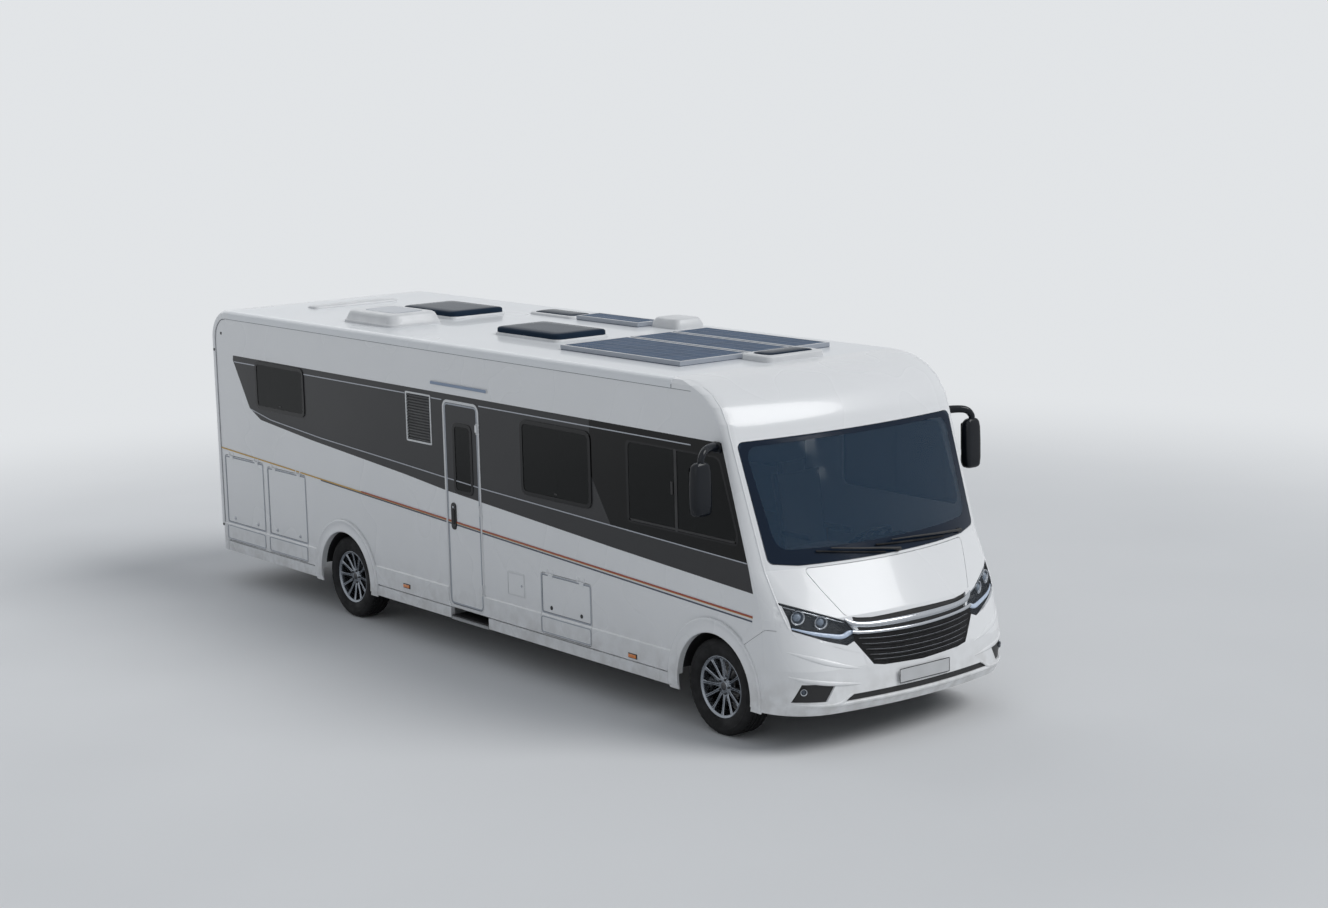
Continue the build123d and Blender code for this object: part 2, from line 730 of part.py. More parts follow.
# Grille: a backing with slats across its front
pockets = [front_prism(FOG_POCKET, 0.0, -SEAM, side) for _, side in SIDES]
with BuildPart() as grille:
    add(nose_core)
    add([front_prism(GRILLE, GRILLE_R), front_prism(LOWER_SLIT, 0.0, -SEAM)] + pockets, mode=Mode.INTERSECT)
with BuildPart() as grille_bars:
    add(nose_face)
    add(front_prism(GRILLE, GRILLE_R), mode=Mode.INTERSECT)
    pitch = (GRILLE[0][1] - GRILLE[2][1]) / GRILLE_SLATS
    slats = [box_between(0, X_FRONT, -HALF, HALF, GRILLE[0][1] - pitch * k - SLAT_H, GRILLE[0][1] - pitch * k)
             for k in range(GRILLE_SLATS)]
    add(slats, mode=Mode.INTERSECT)
grille.part.label = "grille"
export_step(grille.part, "parts/grille.step")
grille_bars.part.label = "grille_bars"
export_step(grille_bars.part, "parts/grille_bars.step")

# Headlamps: housings with clear lenses
with BuildPart() as lamp_housings:
    add(nose_core)
    add([front_prism(LAMP, LAMP_R, 0.0, side) for _, side in SIDES], mode=Mode.INTERSECT)
lamp_housings.part.label = "lamp_housings"
export_step(lamp_housings.part, "parts/lamp_housings.step")
with BuildPart() as lamp_lenses:
    add(nose_face)
    add([front_prism(LAMP, LAMP_R, 0.0, side) for _, side in SIDES], mode=Mode.INTERSECT)
lamp_lenses.part.label = "lamp_lenses"
export_step(lamp_lenses.part, "parts/lamp_lenses.step")

# Number plates, one on the front holder and one on the rear bumper
with BuildPart() as plates:
    with BuildSketch(Plane.YZ.offset(X_FRONT - PLATE_THICK)):
        with Locations((0, PLATE_Z)):
            RectangleRounded(PLATE_W, PLATE_H, PLATE_CORNER)
    extrude(amount=PLATE_THICK)
    with BuildSketch(Plane.YZ.offset(X_REAR)):
        with Locations((0, REAR_PLATE_Z)):
            RectangleRounded(PLATE_W, PLATE_H, PLATE_CORNER)
    extrude(amount=PLATE_THICK)
plates.part.label = "number_plates"
export_step(plates.part, "parts/number_plates.step")

# Side walls with their openings
OPENINGS = {
    "right": (WINDOWS_RIGHT + VENTS_RIGHT + FLAPS_RIGHT, LOCKERS_RIGHT),
    "left": (WINDOWS_LEFT + VENTS_LEFT + FLAPS_LEFT, LOCKERS_LEFT),
}
for name, side in SIDES:
    fixed, hatches = OPENINGS[name]
    with BuildPart() as wall:
        add(wall_blank(side))
        for row in fixed:
            add(side_prism(row, side, SEAM, 0.0, REACH), mode=Mode.SUBTRACT)
        for row in hatches:
            add(side_prism(row, side, DOOR_GAP, 0.0, REACH), mode=Mode.SUBTRACT)
        add(cab_prism(side, SEAM, 0.0, REACH), mode=Mode.SUBTRACT)
        if side == RIGHT:
            add(side_prism(DOOR_LEAF, side, DOOR_GAP, 0.0, REACH), mode=Mode.SUBTRACT)
            add(side_prism(DOOR_FRAME, side, SEAM, WALL_FACE, REACH), mode=Mode.SUBTRACT)
        for row in hatches:
            add(hatch_hinges(row, side)[1])
    wall.part.label = f"side_wall_{name}"
    export_step(wall.part, f"parts/side_wall_{name}.step")

    # Hatches of this side, each with its hinge barrels
    for row in hatches:
        with BuildPart() as hatch:
            add(wall_blank(side))
            add(side_prism(row, side, 0.0, 0.0, REACH), mode=Mode.INTERSECT)
            add(hatch_hinges(row, side)[0])
        hatch.part.label = row[0]
        export_step(hatch.part, f"parts/{row[0]}.step")

# Service flaps stay shut, each one panel over its filler
with BuildPart() as service_flaps:
    for side, rows in ((RIGHT, FLAPS_RIGHT), (LEFT, FLAPS_LEFT)):
        for row in rows:
            add(side_prism(row, side, 0.0, WALL_BACK, WALL_FACE + PANE_GAP))
service_flaps.part.label = "service_flaps"
export_step(service_flaps.part, "parts/service_flaps.step")

# Side windows, one framed pane in each opening
with BuildPart() as side_panes:
    for side, rows in ((RIGHT, WINDOWS_RIGHT), (LEFT, WINDOWS_LEFT)):
        for row in rows:
            add(side_prism(row, side, 0.0, WALL_FACE + PANE_PROUD - PANE_THICK, WALL_FACE + PANE_PROUD))

# Cab windows
with BuildPart() as cab_windows:
    for _, side in SIDES:
        add(cab_prism(side, 0.0, WALL_FACE - GLASS_THICK, WALL_FACE))
cab_windows.part.label = "cab_windows"
export_step(cab_windows.part, "parts/cab_windows.step")

# Refrigerator vents with louvres
with BuildPart() as vents:
    for side, rows in ((RIGHT, VENTS_RIGHT), (LEFT, VENTS_LEFT)):
        for row in rows:
            add(side_prism(row, side, 0.0, WALL_FACE - WALL / 2, WALL_FACE + PANE_PROUD))
            name, start, end, low, high, _ = row
            start, end, low, high = start + VENT_FRAME, end - VENT_FRAME, low + VENT_FRAME, high - VENT_FRAME
            inner = (name, start, end, low, high, VENT_CORNER)
            add(side_prism(inner, side, 0.0, WALL_FACE - WALL / 4, REACH), mode=Mode.SUBTRACT)
            pitch = (high - low) / LOUVRES
            for k in range(LOUVRES):
                foot = low + pitch * k + (pitch - LOUVRE_H) / 2
                blade = (name, start, end, foot, foot + LOUVRE_H, LOUVRE_H / 4)
                add(side_prism(blade, side, 0.0, WALL_FACE - WALL / 4, WALL_FACE))
vents.part.label = "fridge_vents"
export_step(vents.part, "parts/fridge_vents.step")

# Entry door, its trim, pane and handle
with BuildPart() as entry_door:
    add(side_prism(DOOR_LEAF, RIGHT, 0.0, WALL_BACK, WALL_FACE))
    add(side_prism(DOOR_WINDOW, RIGHT, SEAM, 0.0, REACH), mode=Mode.SUBTRACT)
    add(door_hinges()[0])
entry_door.part.label = "entry_door"
export_step(entry_door.part, "parts/entry_door.step")
with BuildPart() as door_trim:
    add(side_prism(DOOR_FRAME, RIGHT, 0.0, WALL_FACE, WALL_FACE + DOOR_FRAME_PROUD))
    add(side_prism(DOOR_LEAF, RIGHT, DOOR_GAP, 0.0, REACH), mode=Mode.SUBTRACT)
    add(door_hinges()[1])
    add(side_prism(LIGHT_BAR, RIGHT, 0.0, WALL_FACE, HALF))
door_trim.part.label = "door_trim"
export_step(door_trim.part, "parts/door_trim.step")
with BuildPart() as door_pane:
    add(side_prism(DOOR_WINDOW, RIGHT, 0.0, WALL_FACE + PANE_GAP - PANE_THICK, WALL_FACE + PANE_GAP))
door_pane.part.label = "door_pane"
export_step(door_pane.part, "parts/door_pane.step")
with BuildPart() as door_handle:
    with BuildSketch(side_plane(RIGHT, WALL_FACE)):
        with Locations((X_REAR + HANDLE_FROM_REAR, HANDLE_Z)):
            SlotOverall(HANDLE_H, HANDLE_W, rotation=90)
    extrude(amount=WALL_INSET)
door_handle.part.label = "door_handle"
export_step(door_handle.part, "parts/door_handle.step")

# Roof, rear wall and their edge bands, split across the rear radius


def body_slab(shift, front, floor, half_width):
    """The body's side outline, set in by shift and run across the vehicle."""
    back, top = X_REAR + shift, ROOF_Z - shift
    points = ((back, floor), (back, top), (front, top), (front, floor))
    with BuildPart() as slab:
        with BuildSketch(side_plane(LEFT, half_width)) as sketch:
            with BuildLine():
                Polyline(*points, close=True)
            make_face()
            fillet(sketch.vertices().sort_by_distance((X_REAR, ROOF_Z, 0))[0], REAR_RADIUS - shift)
        extrude(amount=2 * half_width)
    return slab.part


with BuildPart() as body_shell:
    add(body_slab(0.0, CAP_JOINT, REAR_BUMPER_TOP, HALF))
    side_edges = [e for e in body_shell.edges() if abs(abs(e.center().Y) - HALF) < SEAM]
    closed_edges = [e for e in side_edges if e.center().X < CAP_JOINT - SEAM]
    fillet([e for e in closed_edges if e.center().Z > REAR_BUMPER_TOP + SEAM], EDGE_RADIUS)
    add(body_slab(WALL, CAP_JOINT + REACH, 0.0, HALF - EDGE_RADIUS), mode=Mode.SUBTRACT)
    for _, side in SIDES:
        add(wall_zone(side, SEAM, HALF - EDGE_RADIUS - SEAM, REACH), mode=Mode.SUBTRACT)
    for _, start, end, low, high, _ in SKYLIGHTS:
        add(box_between(CAP_JOINT - start + FRAME_W, CAP_JOINT - end - FRAME_W, low + FRAME_W, high - FRAME_W,
                        ROOF_Z - EDGE_BAND, ROOF_Z + EDGE_BAND), mode=Mode.SUBTRACT)
with BuildPart() as rear_wall:
    add(body_shell.part)
    add(box_between(X_REAR, ROOF_SPLIT, -HALF, HALF, 0, ROOF_Z), mode=Mode.INTERSECT)
    with BuildSketch(Plane.YZ.offset(X_REAR)):
        Polygon(*REAR_WINDOW, align=None)
        fillet(vertices(), REAR_WINDOW_R)
        offset(amount=SEAM)
    extrude(amount=EDGE_BAND, mode=Mode.SUBTRACT)
rear_wall.part.label = "rear_wall"
export_step(rear_wall.part, "parts/rear_wall.step")
with BuildPart() as roof_panel:
    add(body_shell.part)
    add(box_between(ROOF_SPLIT, CAP_JOINT, -HALF, HALF, 0, ROOF_Z), mode=Mode.INTERSECT)
roof_panel.part.label = "roof_panel"
export_step(roof_panel.part, "parts/roof_panel.step")
with BuildPart() as windows:
    add(side_panes.part)
    with BuildSketch(Plane.YZ.offset(X_REAR)):
        Polygon(*REAR_WINDOW, align=None)
        fillet(vertices(), REAR_WINDOW_R)
    extrude(amount=PANE_THICK)
windows.part.label = "windows"
export_step(windows.part, "parts/windows.step")

# Rear bumper, wrapped round the corners, with its lamp pockets
with BuildPart() as rear_bumper:
    with BuildSketch(Plane.XY.offset(SKIRT_LOW)):
        with Locations((X_REAR + PLATE_THICK + BUMPER_WRAP, 0)):
            RectangleRounded(2 * BUMPER_WRAP, WIDTH, BUMPER_CORNER)
    extrude(amount=REAR_BUMPER_TOP - SEAM - SKIRT_LOW)
    with BuildSketch(Plane.XY.offset(SKIRT_LOW - SKIRT_GAP)):
        with Locations((X_REAR + PLATE_THICK + BUMPER_WRAP + BUMPER_THICK, 0)):
            RectangleRounded(2 * BUMPER_WRAP, WIDTH - 2 * BUMPER_THICK, BUMPER_CORNER - BUMPER_THICK)
    extrude(amount=REAR_BUMPER_TOP, mode=Mode.SUBTRACT)
    add(box_between(X_REAR + BUMPER_WRAP, REACH, -REACH, REACH, 0, ROOF_Z), mode=Mode.SUBTRACT)
    for _, side in SIDES:
        add(wall_zone(side, SEAM, WALL_BACK - EDGE_BAND, REACH), mode=Mode.SUBTRACT)
        low_y, high_y = (HALF - inwards for inwards in TAIL_LAMP_IN)
        low_z, high_z = TAIL_LAMP_Z
        add(box_between(X_REAR, X_REAR + BUMPER_THICK * 2, min(side * low_y, side * high_y),
                        max(side * low_y, side * high_y), low_z, high_z), mode=Mode.SUBTRACT)
rear_bumper.part.label = "rear_bumper"
export_step(rear_bumper.part, "parts/rear_bumper.step")
with BuildPart() as tail_lamps:
    for _, side in SIDES:
        low_y, high_y = (HALF - inwards for inwards in TAIL_LAMP_IN)
        low_z, high_z = TAIL_LAMP_Z
        add(box_between(X_REAR + PLATE_THICK, X_REAR + BUMPER_THICK, min(side * low_y, side * high_y) + SEAM,
                        max(side * low_y, side * high_y) - SEAM, low_z + SEAM, high_z - SEAM))
tail_lamps.part.label = "tail_lamps"
export_step(tail_lamps.part, "parts/tail_lamps.step")

# Skirts under the sill
arch_out = ARCH_R + FLARE + SEAM
step_half = STEP_W / 2 + STEP_CLEAR
skirt_start = X_REAR + BUMPER_WRAP + SEAM
with BuildPart() as side_skirts:
    for _, side in SIDES:
        y_in, y_out = sorted((side * (SKIRT_FACE - SKIRT_THICK), side * SKIRT_FACE))
        add(box_between(skirt_start, FRONT_AXLE, y_in, y_out, SKIRT_LOW, SILL_Z - SKIRT_GAP))
        y_in, y_out = sorted((side * WALL_BACK, side * (SKIRT_FACE - SKIRT_THICK)))
        add(box_between(skirt_start, FRONT_AXLE, y_in, y_out, SKIRT_LOW + SKIRT_THICK, SILL_Z))
        for _, axle, _ in AXLES:
            add(wheel_cylinder(axle, side, arch_out, 0.0, REACH), mode=Mode.SUBTRACT)
    add(box_between(STEP_X - step_half, STEP_X + step_half, -REACH, 0, 0, SILL_Z), mode=Mode.SUBTRACT)

# Wheel-arch flares
with BuildPart() as arch_flares:
    for _, side in SIDES:
        for _, axle, _ in AXLES:
            add(wheel_cylinder(axle, side, ARCH_R + FLARE, WALL_FACE, HALF))
            add(wheel_cylinder(axle, side, ARCH_R, 0.0, REACH), mode=Mode.SUBTRACT)
    add(box_between(-LENGTH, LENGTH, -REACH, REACH, -REACH, FLARE_LOW), mode=Mode.SUBTRACT)
with BuildPart() as lower_trim:
    add(side_skirts.part)
    add(arch_flares.part)
lower_trim.part.label = "lower_trim"
export_step(lower_trim.part, "parts/lower_trim.step")

# Wheel housings
with BuildPart() as wheel_housings:
    for _, side in SIDES:
        for _, axle, depth in AXLES:
            y_in = WALL_BACK - depth
            add(wheel_cylinder(axle, side, ARCH_R + HOUSING_THICK, y_in, WALL_BACK))
            add(wheel_cylinder(axle, side, ARCH_R, y_in + HOUSING_THICK, REACH), mode=Mode.SUBTRACT)
    add(box_between(-LENGTH, LENGTH, -REACH, REACH, -REACH, HOUSING_LOW), mode=Mode.SUBTRACT)
wheel_housings.part.label = "wheel_housings"
export_step(wheel_housings.part, "parts/wheel_housings.step")

# Living floor: one panel along the middle and shorter ones beside it, round the wheel housings, the
# stepwell and the locker boxes
housing_r = ARCH_R + HOUSING_THICK + SEAM
housing_half = sqrt(housing_r**2 - (FLOOR_UNDER - TYRE_R) ** 2)
rear_let_in = (REAR_AXLE - housing_half, REAR_AXLE + housing_half, HOUSING_DEPTH_REAR + HOUSING_THICK)
well_let_in = (X_REAR + DOOR_LEAF[1] - PANEL_THICK, X_REAR + DOOR_LEAF[2] + PANEL_THICK, WELL_DEPTH)
front_let_in = (
    FRONT_AXLE - ARCH_R - 2 * HOUSING_THICK,
    FRONT_AXLE + CAB_FLOOR_AHEAD,
    HOUSING_DEPTH_FRONT + HOUSING_THICK,
)


def locker_let_in(row):
    """Where a locker box of the side table interrupts the floor, over the side panels' whole width."""
    return X_REAR + row[1] - PANEL_THICK, X_REAR + row[2] + PANEL_THICK, LOCKER_DEPTH


# Columns of each interruption: start and end along x, depth inwards from the wall
FLOOR_LET_INS = (
    (RIGHT, (rear_let_in, well_let_in, locker_let_in(LOCKERS_RIGHT[-1]), front_let_in)),
    (LEFT, (rear_let_in, locker_let_in(LOCKERS_LEFT[-1]), front_let_in)),
)
with BuildPart() as floor_panel:
    add(box_between(FLOOR_START, front_let_in[1], -FLOOR_MIDDLE, FLOOR_MIDDLE, FLOOR_UNDER, FLOOR_Z))
    for side, let_ins in FLOOR_LET_INS:
        panel_start = FLOOR_START
        for start, end, depth in let_ins:
            y_in, y_out = sorted((side * (FLOOR_MIDDLE + SEAM), side * WALL_BACK))
            add(box_between(panel_start, start - SEAM, y_in, y_out, FLOOR_UNDER, FLOOR_Z))
            if depth < LOCKER_DEPTH:
                y_in, y_out = sorted((side * (FLOOR_MIDDLE + SEAM), side * (WALL_BACK - depth)))
                add(box_between(start, end, y_in, y_out, FLOOR_UNDER, FLOOR_Z))
            panel_start = end + SEAM
floor_panel.part.label = "floor_panel"
export_step(floor_panel.part, "parts/floor_panel.step")

# Garage tray, front bulkhead and bed base, the two locker boxes and the tub of the stepwell
with BuildPart() as garage_box:
    start = X_REAR + WALL + GARAGE_CLEAR
    with BuildSketch(Plane.XZ):
        with BuildLine():
            Polyline(
                (start, GARAGE_FLOOR),
                (FLOOR_START - SEAM, GARAGE_FLOOR),
                (FLOOR_START - SEAM, GARAGE_TOP),
                (start, GARAGE_TOP),
                (start, GARAGE_TOP - PANEL_THICK),
                (FLOOR_START - SEAM - PANEL_THICK, GARAGE_TOP - PANEL_THICK),
                (FLOOR_START - SEAM - PANEL_THICK, GARAGE_FLOOR + PANEL_THICK),
                (start, GARAGE_FLOOR + PANEL_THICK),
                close=True,
            )
        make_face()
    extrude(amount=HALF - EDGE_RADIUS - SEAM, both=True)
    for _, axle, depth in AXLES:
        for _, side in SIDES:
            add(wheel_cylinder(axle, side, ARCH_R + HOUSING_THICK + SEAM, WALL_BACK - depth - SEAM, REACH),
                mode=Mode.SUBTRACT)
with BuildPart() as locker_boxes:
    for side, rows in ((RIGHT, LOCKERS_RIGHT[-1:]), (LEFT, LOCKERS_LEFT[-1:])):
        for _, start, end, low, high, _ in rows:
            y_in, y_out = sorted((side * (FLOOR_MIDDLE + SEAM), side * (WALL_BACK - SEAM)))
            x0 = X_REAR + start - PANEL_THICK + SEAM
            x1 = X_REAR + end + PANEL_THICK - SEAM
            add(box_between(x0, x1, y_in, y_out, low - PANEL_THICK, high + PANEL_THICK))
            y_in, y_out = sorted((side * (FLOOR_MIDDLE + PANEL_THICK), side * REACH))
            add(box_between(X_REAR + start, X_REAR + end, y_in, y_out, low, high), mode=Mode.SUBTRACT)
with BuildPart() as stepwell:
    x0, x1 = X_REAR + DOOR_LEAF[1], X_REAR + DOOR_LEAF[2]
    add(box_between(x0 - PANEL_THICK + SEAM, x1 + PANEL_THICK - SEAM, SEAM - WALL_BACK,
                    WELL_DEPTH - SEAM - WALL_BACK, WELL_Z, FLOOR_Z))
    add(box_between(x0, x1, -REACH, -WALL_BACK + WELL_DEPTH - PANEL_THICK, WELL_Z + PANEL_THICK, ROOF_Z),
        mode=Mode.SUBTRACT)
with BuildPart() as storage_boxes:
    add(garage_box.part)
    add(stepwell.part)
    add(locker_boxes.part)
storage_boxes.part.label = "storage_boxes"
export_step(storage_boxes.part, "parts/storage_boxes.step")

# Roof equipment, each a tapered moulding with a rounded top edge
def roof_moulding(row, corner, taper, edge):
    """One row of a roof table as a moulding that narrows upwards."""
    _, start, end, low, high, tall = row
    with BuildPart() as moulding:
        with BuildSketch(Plane.XY.offset(ROOF_Z)):
            with Locations((CAP_JOINT - (start + end) / 2, (low + high) / 2)):
                RectangleRounded(start - end, high - low, corner)
        extrude(amount=tall, taper=taper)
        fillet(moulding.faces().sort_by(Axis.Z)[-1].edges(), edge)
    return moulding.part


hoods = [roof_moulding(row, SKYLIGHT_R, SKYLIGHT_TAPER, SKYLIGHT_EDGE) for row in SKYLIGHTS]
with BuildPart() as skylights:
    add(hoods)
skylights.part.label = "skylights"
export_step(skylights.part, "parts/skylights.step")
with BuildPart() as solar_panels:
    for _, start, end, low, high, tall in SOLAR_PANELS:
        add(box_between(CAP_JOINT - start, CAP_JOINT - end, low, high, ROOF_Z, ROOF_Z + tall))
solar_panels.part.label = "solar_panels"
export_step(solar_panels.part, "parts/solar_panels.step")
with BuildPart() as dome_vent:
    with BuildSketch(Plane.XY.offset(ROOF_Z)):
        with Locations((CAP_JOINT - DOME_BEHIND_JOINT, DOME_Y)):
            Circle(DOME_R)
    extrude(amount=DOME_H, taper=DOME_TAPER)
    fillet(dome_vent.faces().sort_by(Axis.Z)[-1].edges(), DOME_EDGE)
cooler = roof_moulding(COOLER, COOLER_R, COOLER_TAPER, COOLER_EDGE)
rear_cover = roof_moulding(REAR_COVER, REAR_COVER_R, SKYLIGHT_TAPER, SKYLIGHT_EDGE)
with BuildPart() as roof_units:
    add([cooler, rear_cover, dome_vent.part])
roof_units.part.label = "roof_units"
export_step(roof_units.part, "parts/roof_units.step")

# Mirrors hanging from arms on the pillars
x0, z0 = MIRROR_ROOT, MIRROR_FOOT_Z
with BuildPart() as mirror_arms:
    for _, side in SIDES:
        with BuildLine() as arm_path:
            FilletPolyline(
                (x0, side * (WALL_FACE + MIRROR_FOOT), z0),
                (x0 + MIRROR_FORWARD, side * MIRROR_Y, z0),
                (x0 + MIRROR_FORWARD, side * MIRROR_Y, MIRROR_TOP - MIRROR_CORNER),
                radius=MIRROR_ARM_BEND,
            )
        with BuildSketch(Plane(origin=(x0, side * (WALL_FACE + MIRROR_FOOT), z0), z_dir=arm_path.line % 0)):
            Circle(MIRROR_ARM_R)
        sweep()
        y_in, y_out = sorted((side * WALL_FACE, side * (WALL_FACE + MIRROR_FOOT)))
        foot_x, foot_z = MIRROR_FOOT_SIZE
        add(box_between(x0 - foot_x / 2, x0 + foot_x / 2, y_in, y_out, z0 - foot_z / 2, z0 + foot_z / 2))
with BuildPart() as mirror_housings:
    with BuildSketch(Plane.XY.offset(MIRROR_TOP - MIRROR_SIZE[2])):
        with Locations(*[(x0 + MIRROR_FORWARD, side * MIRROR_Y) for _, side in SIDES]):
            RectangleRounded(MIRROR_SIZE[0], MIRROR_SIZE[1], MIRROR_CORNER)
    extrude(amount=MIRROR_SIZE[2])
    fillet(mirror_housings.faces().sort_by(Axis.Z)[:2].edges(), MIRROR_EDGE)
    fillet(mirror_housings.faces().sort_by(Axis.Z)[-2:].edges(), MIRROR_EDGE)
with BuildPart() as mirrors:
    add(mirror_arms.part)
    add(mirror_housings.part)
mirrors.part.label = "mirrors"
export_step(mirrors.part, "parts/mirrors.step")

# Chassis frame: two channel rails with cross members and jacking pads, and a low frame under the garage
rail_start = FLOOR_START + PANEL_THICK
low_end = FLOOR_START + 2 * RAIL_W
low_top = GARAGE_FLOOR - SEAM
with BuildPart() as chassis:
    for _, side in SIDES:
        y_in, y_out = sorted((side * (RAIL_Y - RAIL_W / 2), side * RAIL_OUT))
        add(box_between(rail_start, RAIL_END, y_in, y_out, RAIL_LOW, FLOOR_UNDER))
        hollow = sorted((side * (RAIL_Y - RAIL_W), side * WEB_IN))
        add(box_between(low_end, RAIL_END, *hollow, RAIL_LOW + RAIL_WALL, FLOOR_UNDER - RAIL_WALL),
            mode=Mode.SUBTRACT)
        add(box_between(X_REAR + BUMPER_WRAP, low_end, y_in, y_out, low_top - LOW_RAIL_H, low_top))
        add(box_between(rail_start, low_end, y_in, y_out, low_top - LOW_RAIL_H, RAIL_LOW))
    cross_pitch = (RAIL_END - low_end) / CROSS_COUNT
    for k in range(CROSS_COUNT):
        x = low_end + cross_pitch * k + CROSS_W
        add(box_about(x, CROSS_W, -WEB_IN, WEB_IN, RAIL_Z - CROSS_H / 2, RAIL_Z + CROSS_H / 2))
    for from_rear in REAR_CROSS_FROM_REAR:
        add(box_about(X_REAR + from_rear, CROSS_W, -RAIL_Y * 2, RAIL_Y * 2, low_top - CROSS_H, low_top))
    for behind in JACK_PADS_BEHIND_FRONT:
        for _, side in SIDES:
            y_in, y_out = sorted((side * (RAIL_Y - JACK_PAD_W / 2), side * (RAIL_Y + JACK_PAD_W / 2)))
            add(box_about(FRONT_AXLE - behind, JACK_PAD_L, y_in, y_out, RAIL_LOW - JACK_PAD_H, RAIL_LOW))

# Exhaust: a silencer with its pipe along the inside of the rails, hung from the cross members
silencer_back, silencer_front = (FRONT_AXLE - behind for behind in SILENCER_BEHIND_FRONT)
with BuildPart() as exhaust:
    with BuildSketch(Plane.YZ.offset(silencer_back)):
        with Locations((sum(SILENCER_Y) / 2, PIPE_Z)):
            SlotOverall(SILENCER_Y[1] - SILENCER_Y[0], SILENCER_H)
    extrude(amount=silencer_front - silencer_back)
    with BuildSketch(Plane.YZ.offset(REAR_AXLE + TRAIL_LENGTH)):
        with Locations((sum(SILENCER_Y) / 2, PIPE_Z)):
            Circle(PIPE_R)
    extrude(amount=FRONT_AXLE - SUBFRAME_LENGTH - REAR_AXLE - TRAIL_LENGTH)
    for k in range(2, CROSS_COUNT - 1):
        x = low_end + cross_pitch * k + CROSS_W
        y = sum(SILENCER_Y) / 2
        add(box_about(x, HANGER_W, y - HANGER_W / 2, y + HANGER_W / 2, PIPE_Z, RAIL_Z - CROSS_H / 2))

# Wheels. Half sections: out from the wheel's middle, radius
TYRE_HALF = (
    (BEAD_Y, BEAD_R),
    (BEAD_Y, LIP_R + BEAD_RISE),
    (TYRE_W / 2, BEAD_R + SIDEWALL_RISE),
    (TYRE_W / 2 - SHOULDER_IN, TYRE_R - SHOULDER_DROP),
    (TYRE_W / 2 - TREAD_IN, TYRE_R),
)
RIM_HALF = (
    (RIM_W / 2, BEAD_R - RIM_SHELL),
    (RIM_W / 2, LIP_R),
    (BEAD_Y + SEAM, LIP_R),
    (BEAD_Y + SEAM, BEAD_R - SEAM),
)


def wheel_ring(axle, side, half):
    """A half section, mirrored about the wheel's middle and turned about its axle line."""
    outline = [(-out, r) for out, r in half] + [(out, r) for out, r in reversed(half)]
    with BuildPart() as ring:
        with BuildSketch(Plane.YZ.offset(axle)):
            with BuildLine():
                Polyline(*[(side * (WHEEL_Y + out), TYRE_R + r) for out, r in outline], close=True)
            make_face()
        revolve(axis=Axis((axle, 0, TYRE_R), (0, 1, 0)))
    return ring.part


for axle_name, axle, _ in AXLES:
    for side_name, side in SIDES:
        with BuildPart() as tyre:
            add(wheel_ring(axle, side, TYRE_HALF))
        tyre.part.label = f"tyre_{axle_name}_{side_name}"
        export_step(tyre.part, f"parts/{tyre.part.label}.step")
        with BuildPart() as rim:
            add(wheel_ring(axle, side, RIM_HALF))
            add(wheel_cylinder(axle, side, HUB_R, HUB_BACK, HUB_BACK + HUB_DEPTH))
            with BuildSketch(side_plane(side, WHEEL_Y + SPOKE_OUT)):
                with Locations((axle, TYRE_R)):
                    with PolarLocations((HUB_R + BEAD_R) / 2 - SPOKE_LAP, SPOKES):
                        Trapezoid(SPOKE_FOOT, BEAD_R - HUB_R + SPOKE_LAP, SPOKE_SIDE, rotation=90)
            extrude(amount=-side * SPOKE_THICK)
            bore = wheel_cylinder(axle, side, STUB_R + PIN_GAP, HUB_BACK, HUB_BACK + STUB_DEPTH)
            add(bore, mode=Mode.SUBTRACT)
        rim.part.label = f"rim_{axle_name}_{side_name}"
        export_step(rim.part, f"parts/{rim.part.label}.step")

# Steering knuckles: a post on the kingpin's line, its pin in the lower arm and a stub into the rim
for name, side in SIDES:
    with BuildPart() as knuckle:
        with BuildSketch(Plane.XY.offset(KNUCKLE_LOW)):
            with Locations((FRONT_AXLE, side * KINGPIN_Y)):
                Circle(KNUCKLE_R)
        extrude(amount=KNUCKLE_HIGH - KNUCKLE_LOW)
        add(wheel_cylinder(FRONT_AXLE, side, STUB_R, KINGPIN_Y, HUB_BACK + STUB_DEPTH - STUB_END))
        with BuildSketch(Plane.XY.offset(KNUCKLE_LOW - STUB_GAP - ARM_THICK)):
            with Locations((FRONT_AXLE, side * KINGPIN_Y)):
                Circle(KINGPIN_R)
        extrude(amount=ARM_THICK + STUB_GAP)
        disc_back = KINGPIN_Y + KNUCKLE_R / 2
        add(wheel_cylinder(FRONT_AXLE, side, DISC_R, disc_back, disc_back + DISC_THICK))
    knuckle.part.label = f"knuckle_{name}"
    export_step(knuckle.part, f"parts/knuckle_{name}.step")

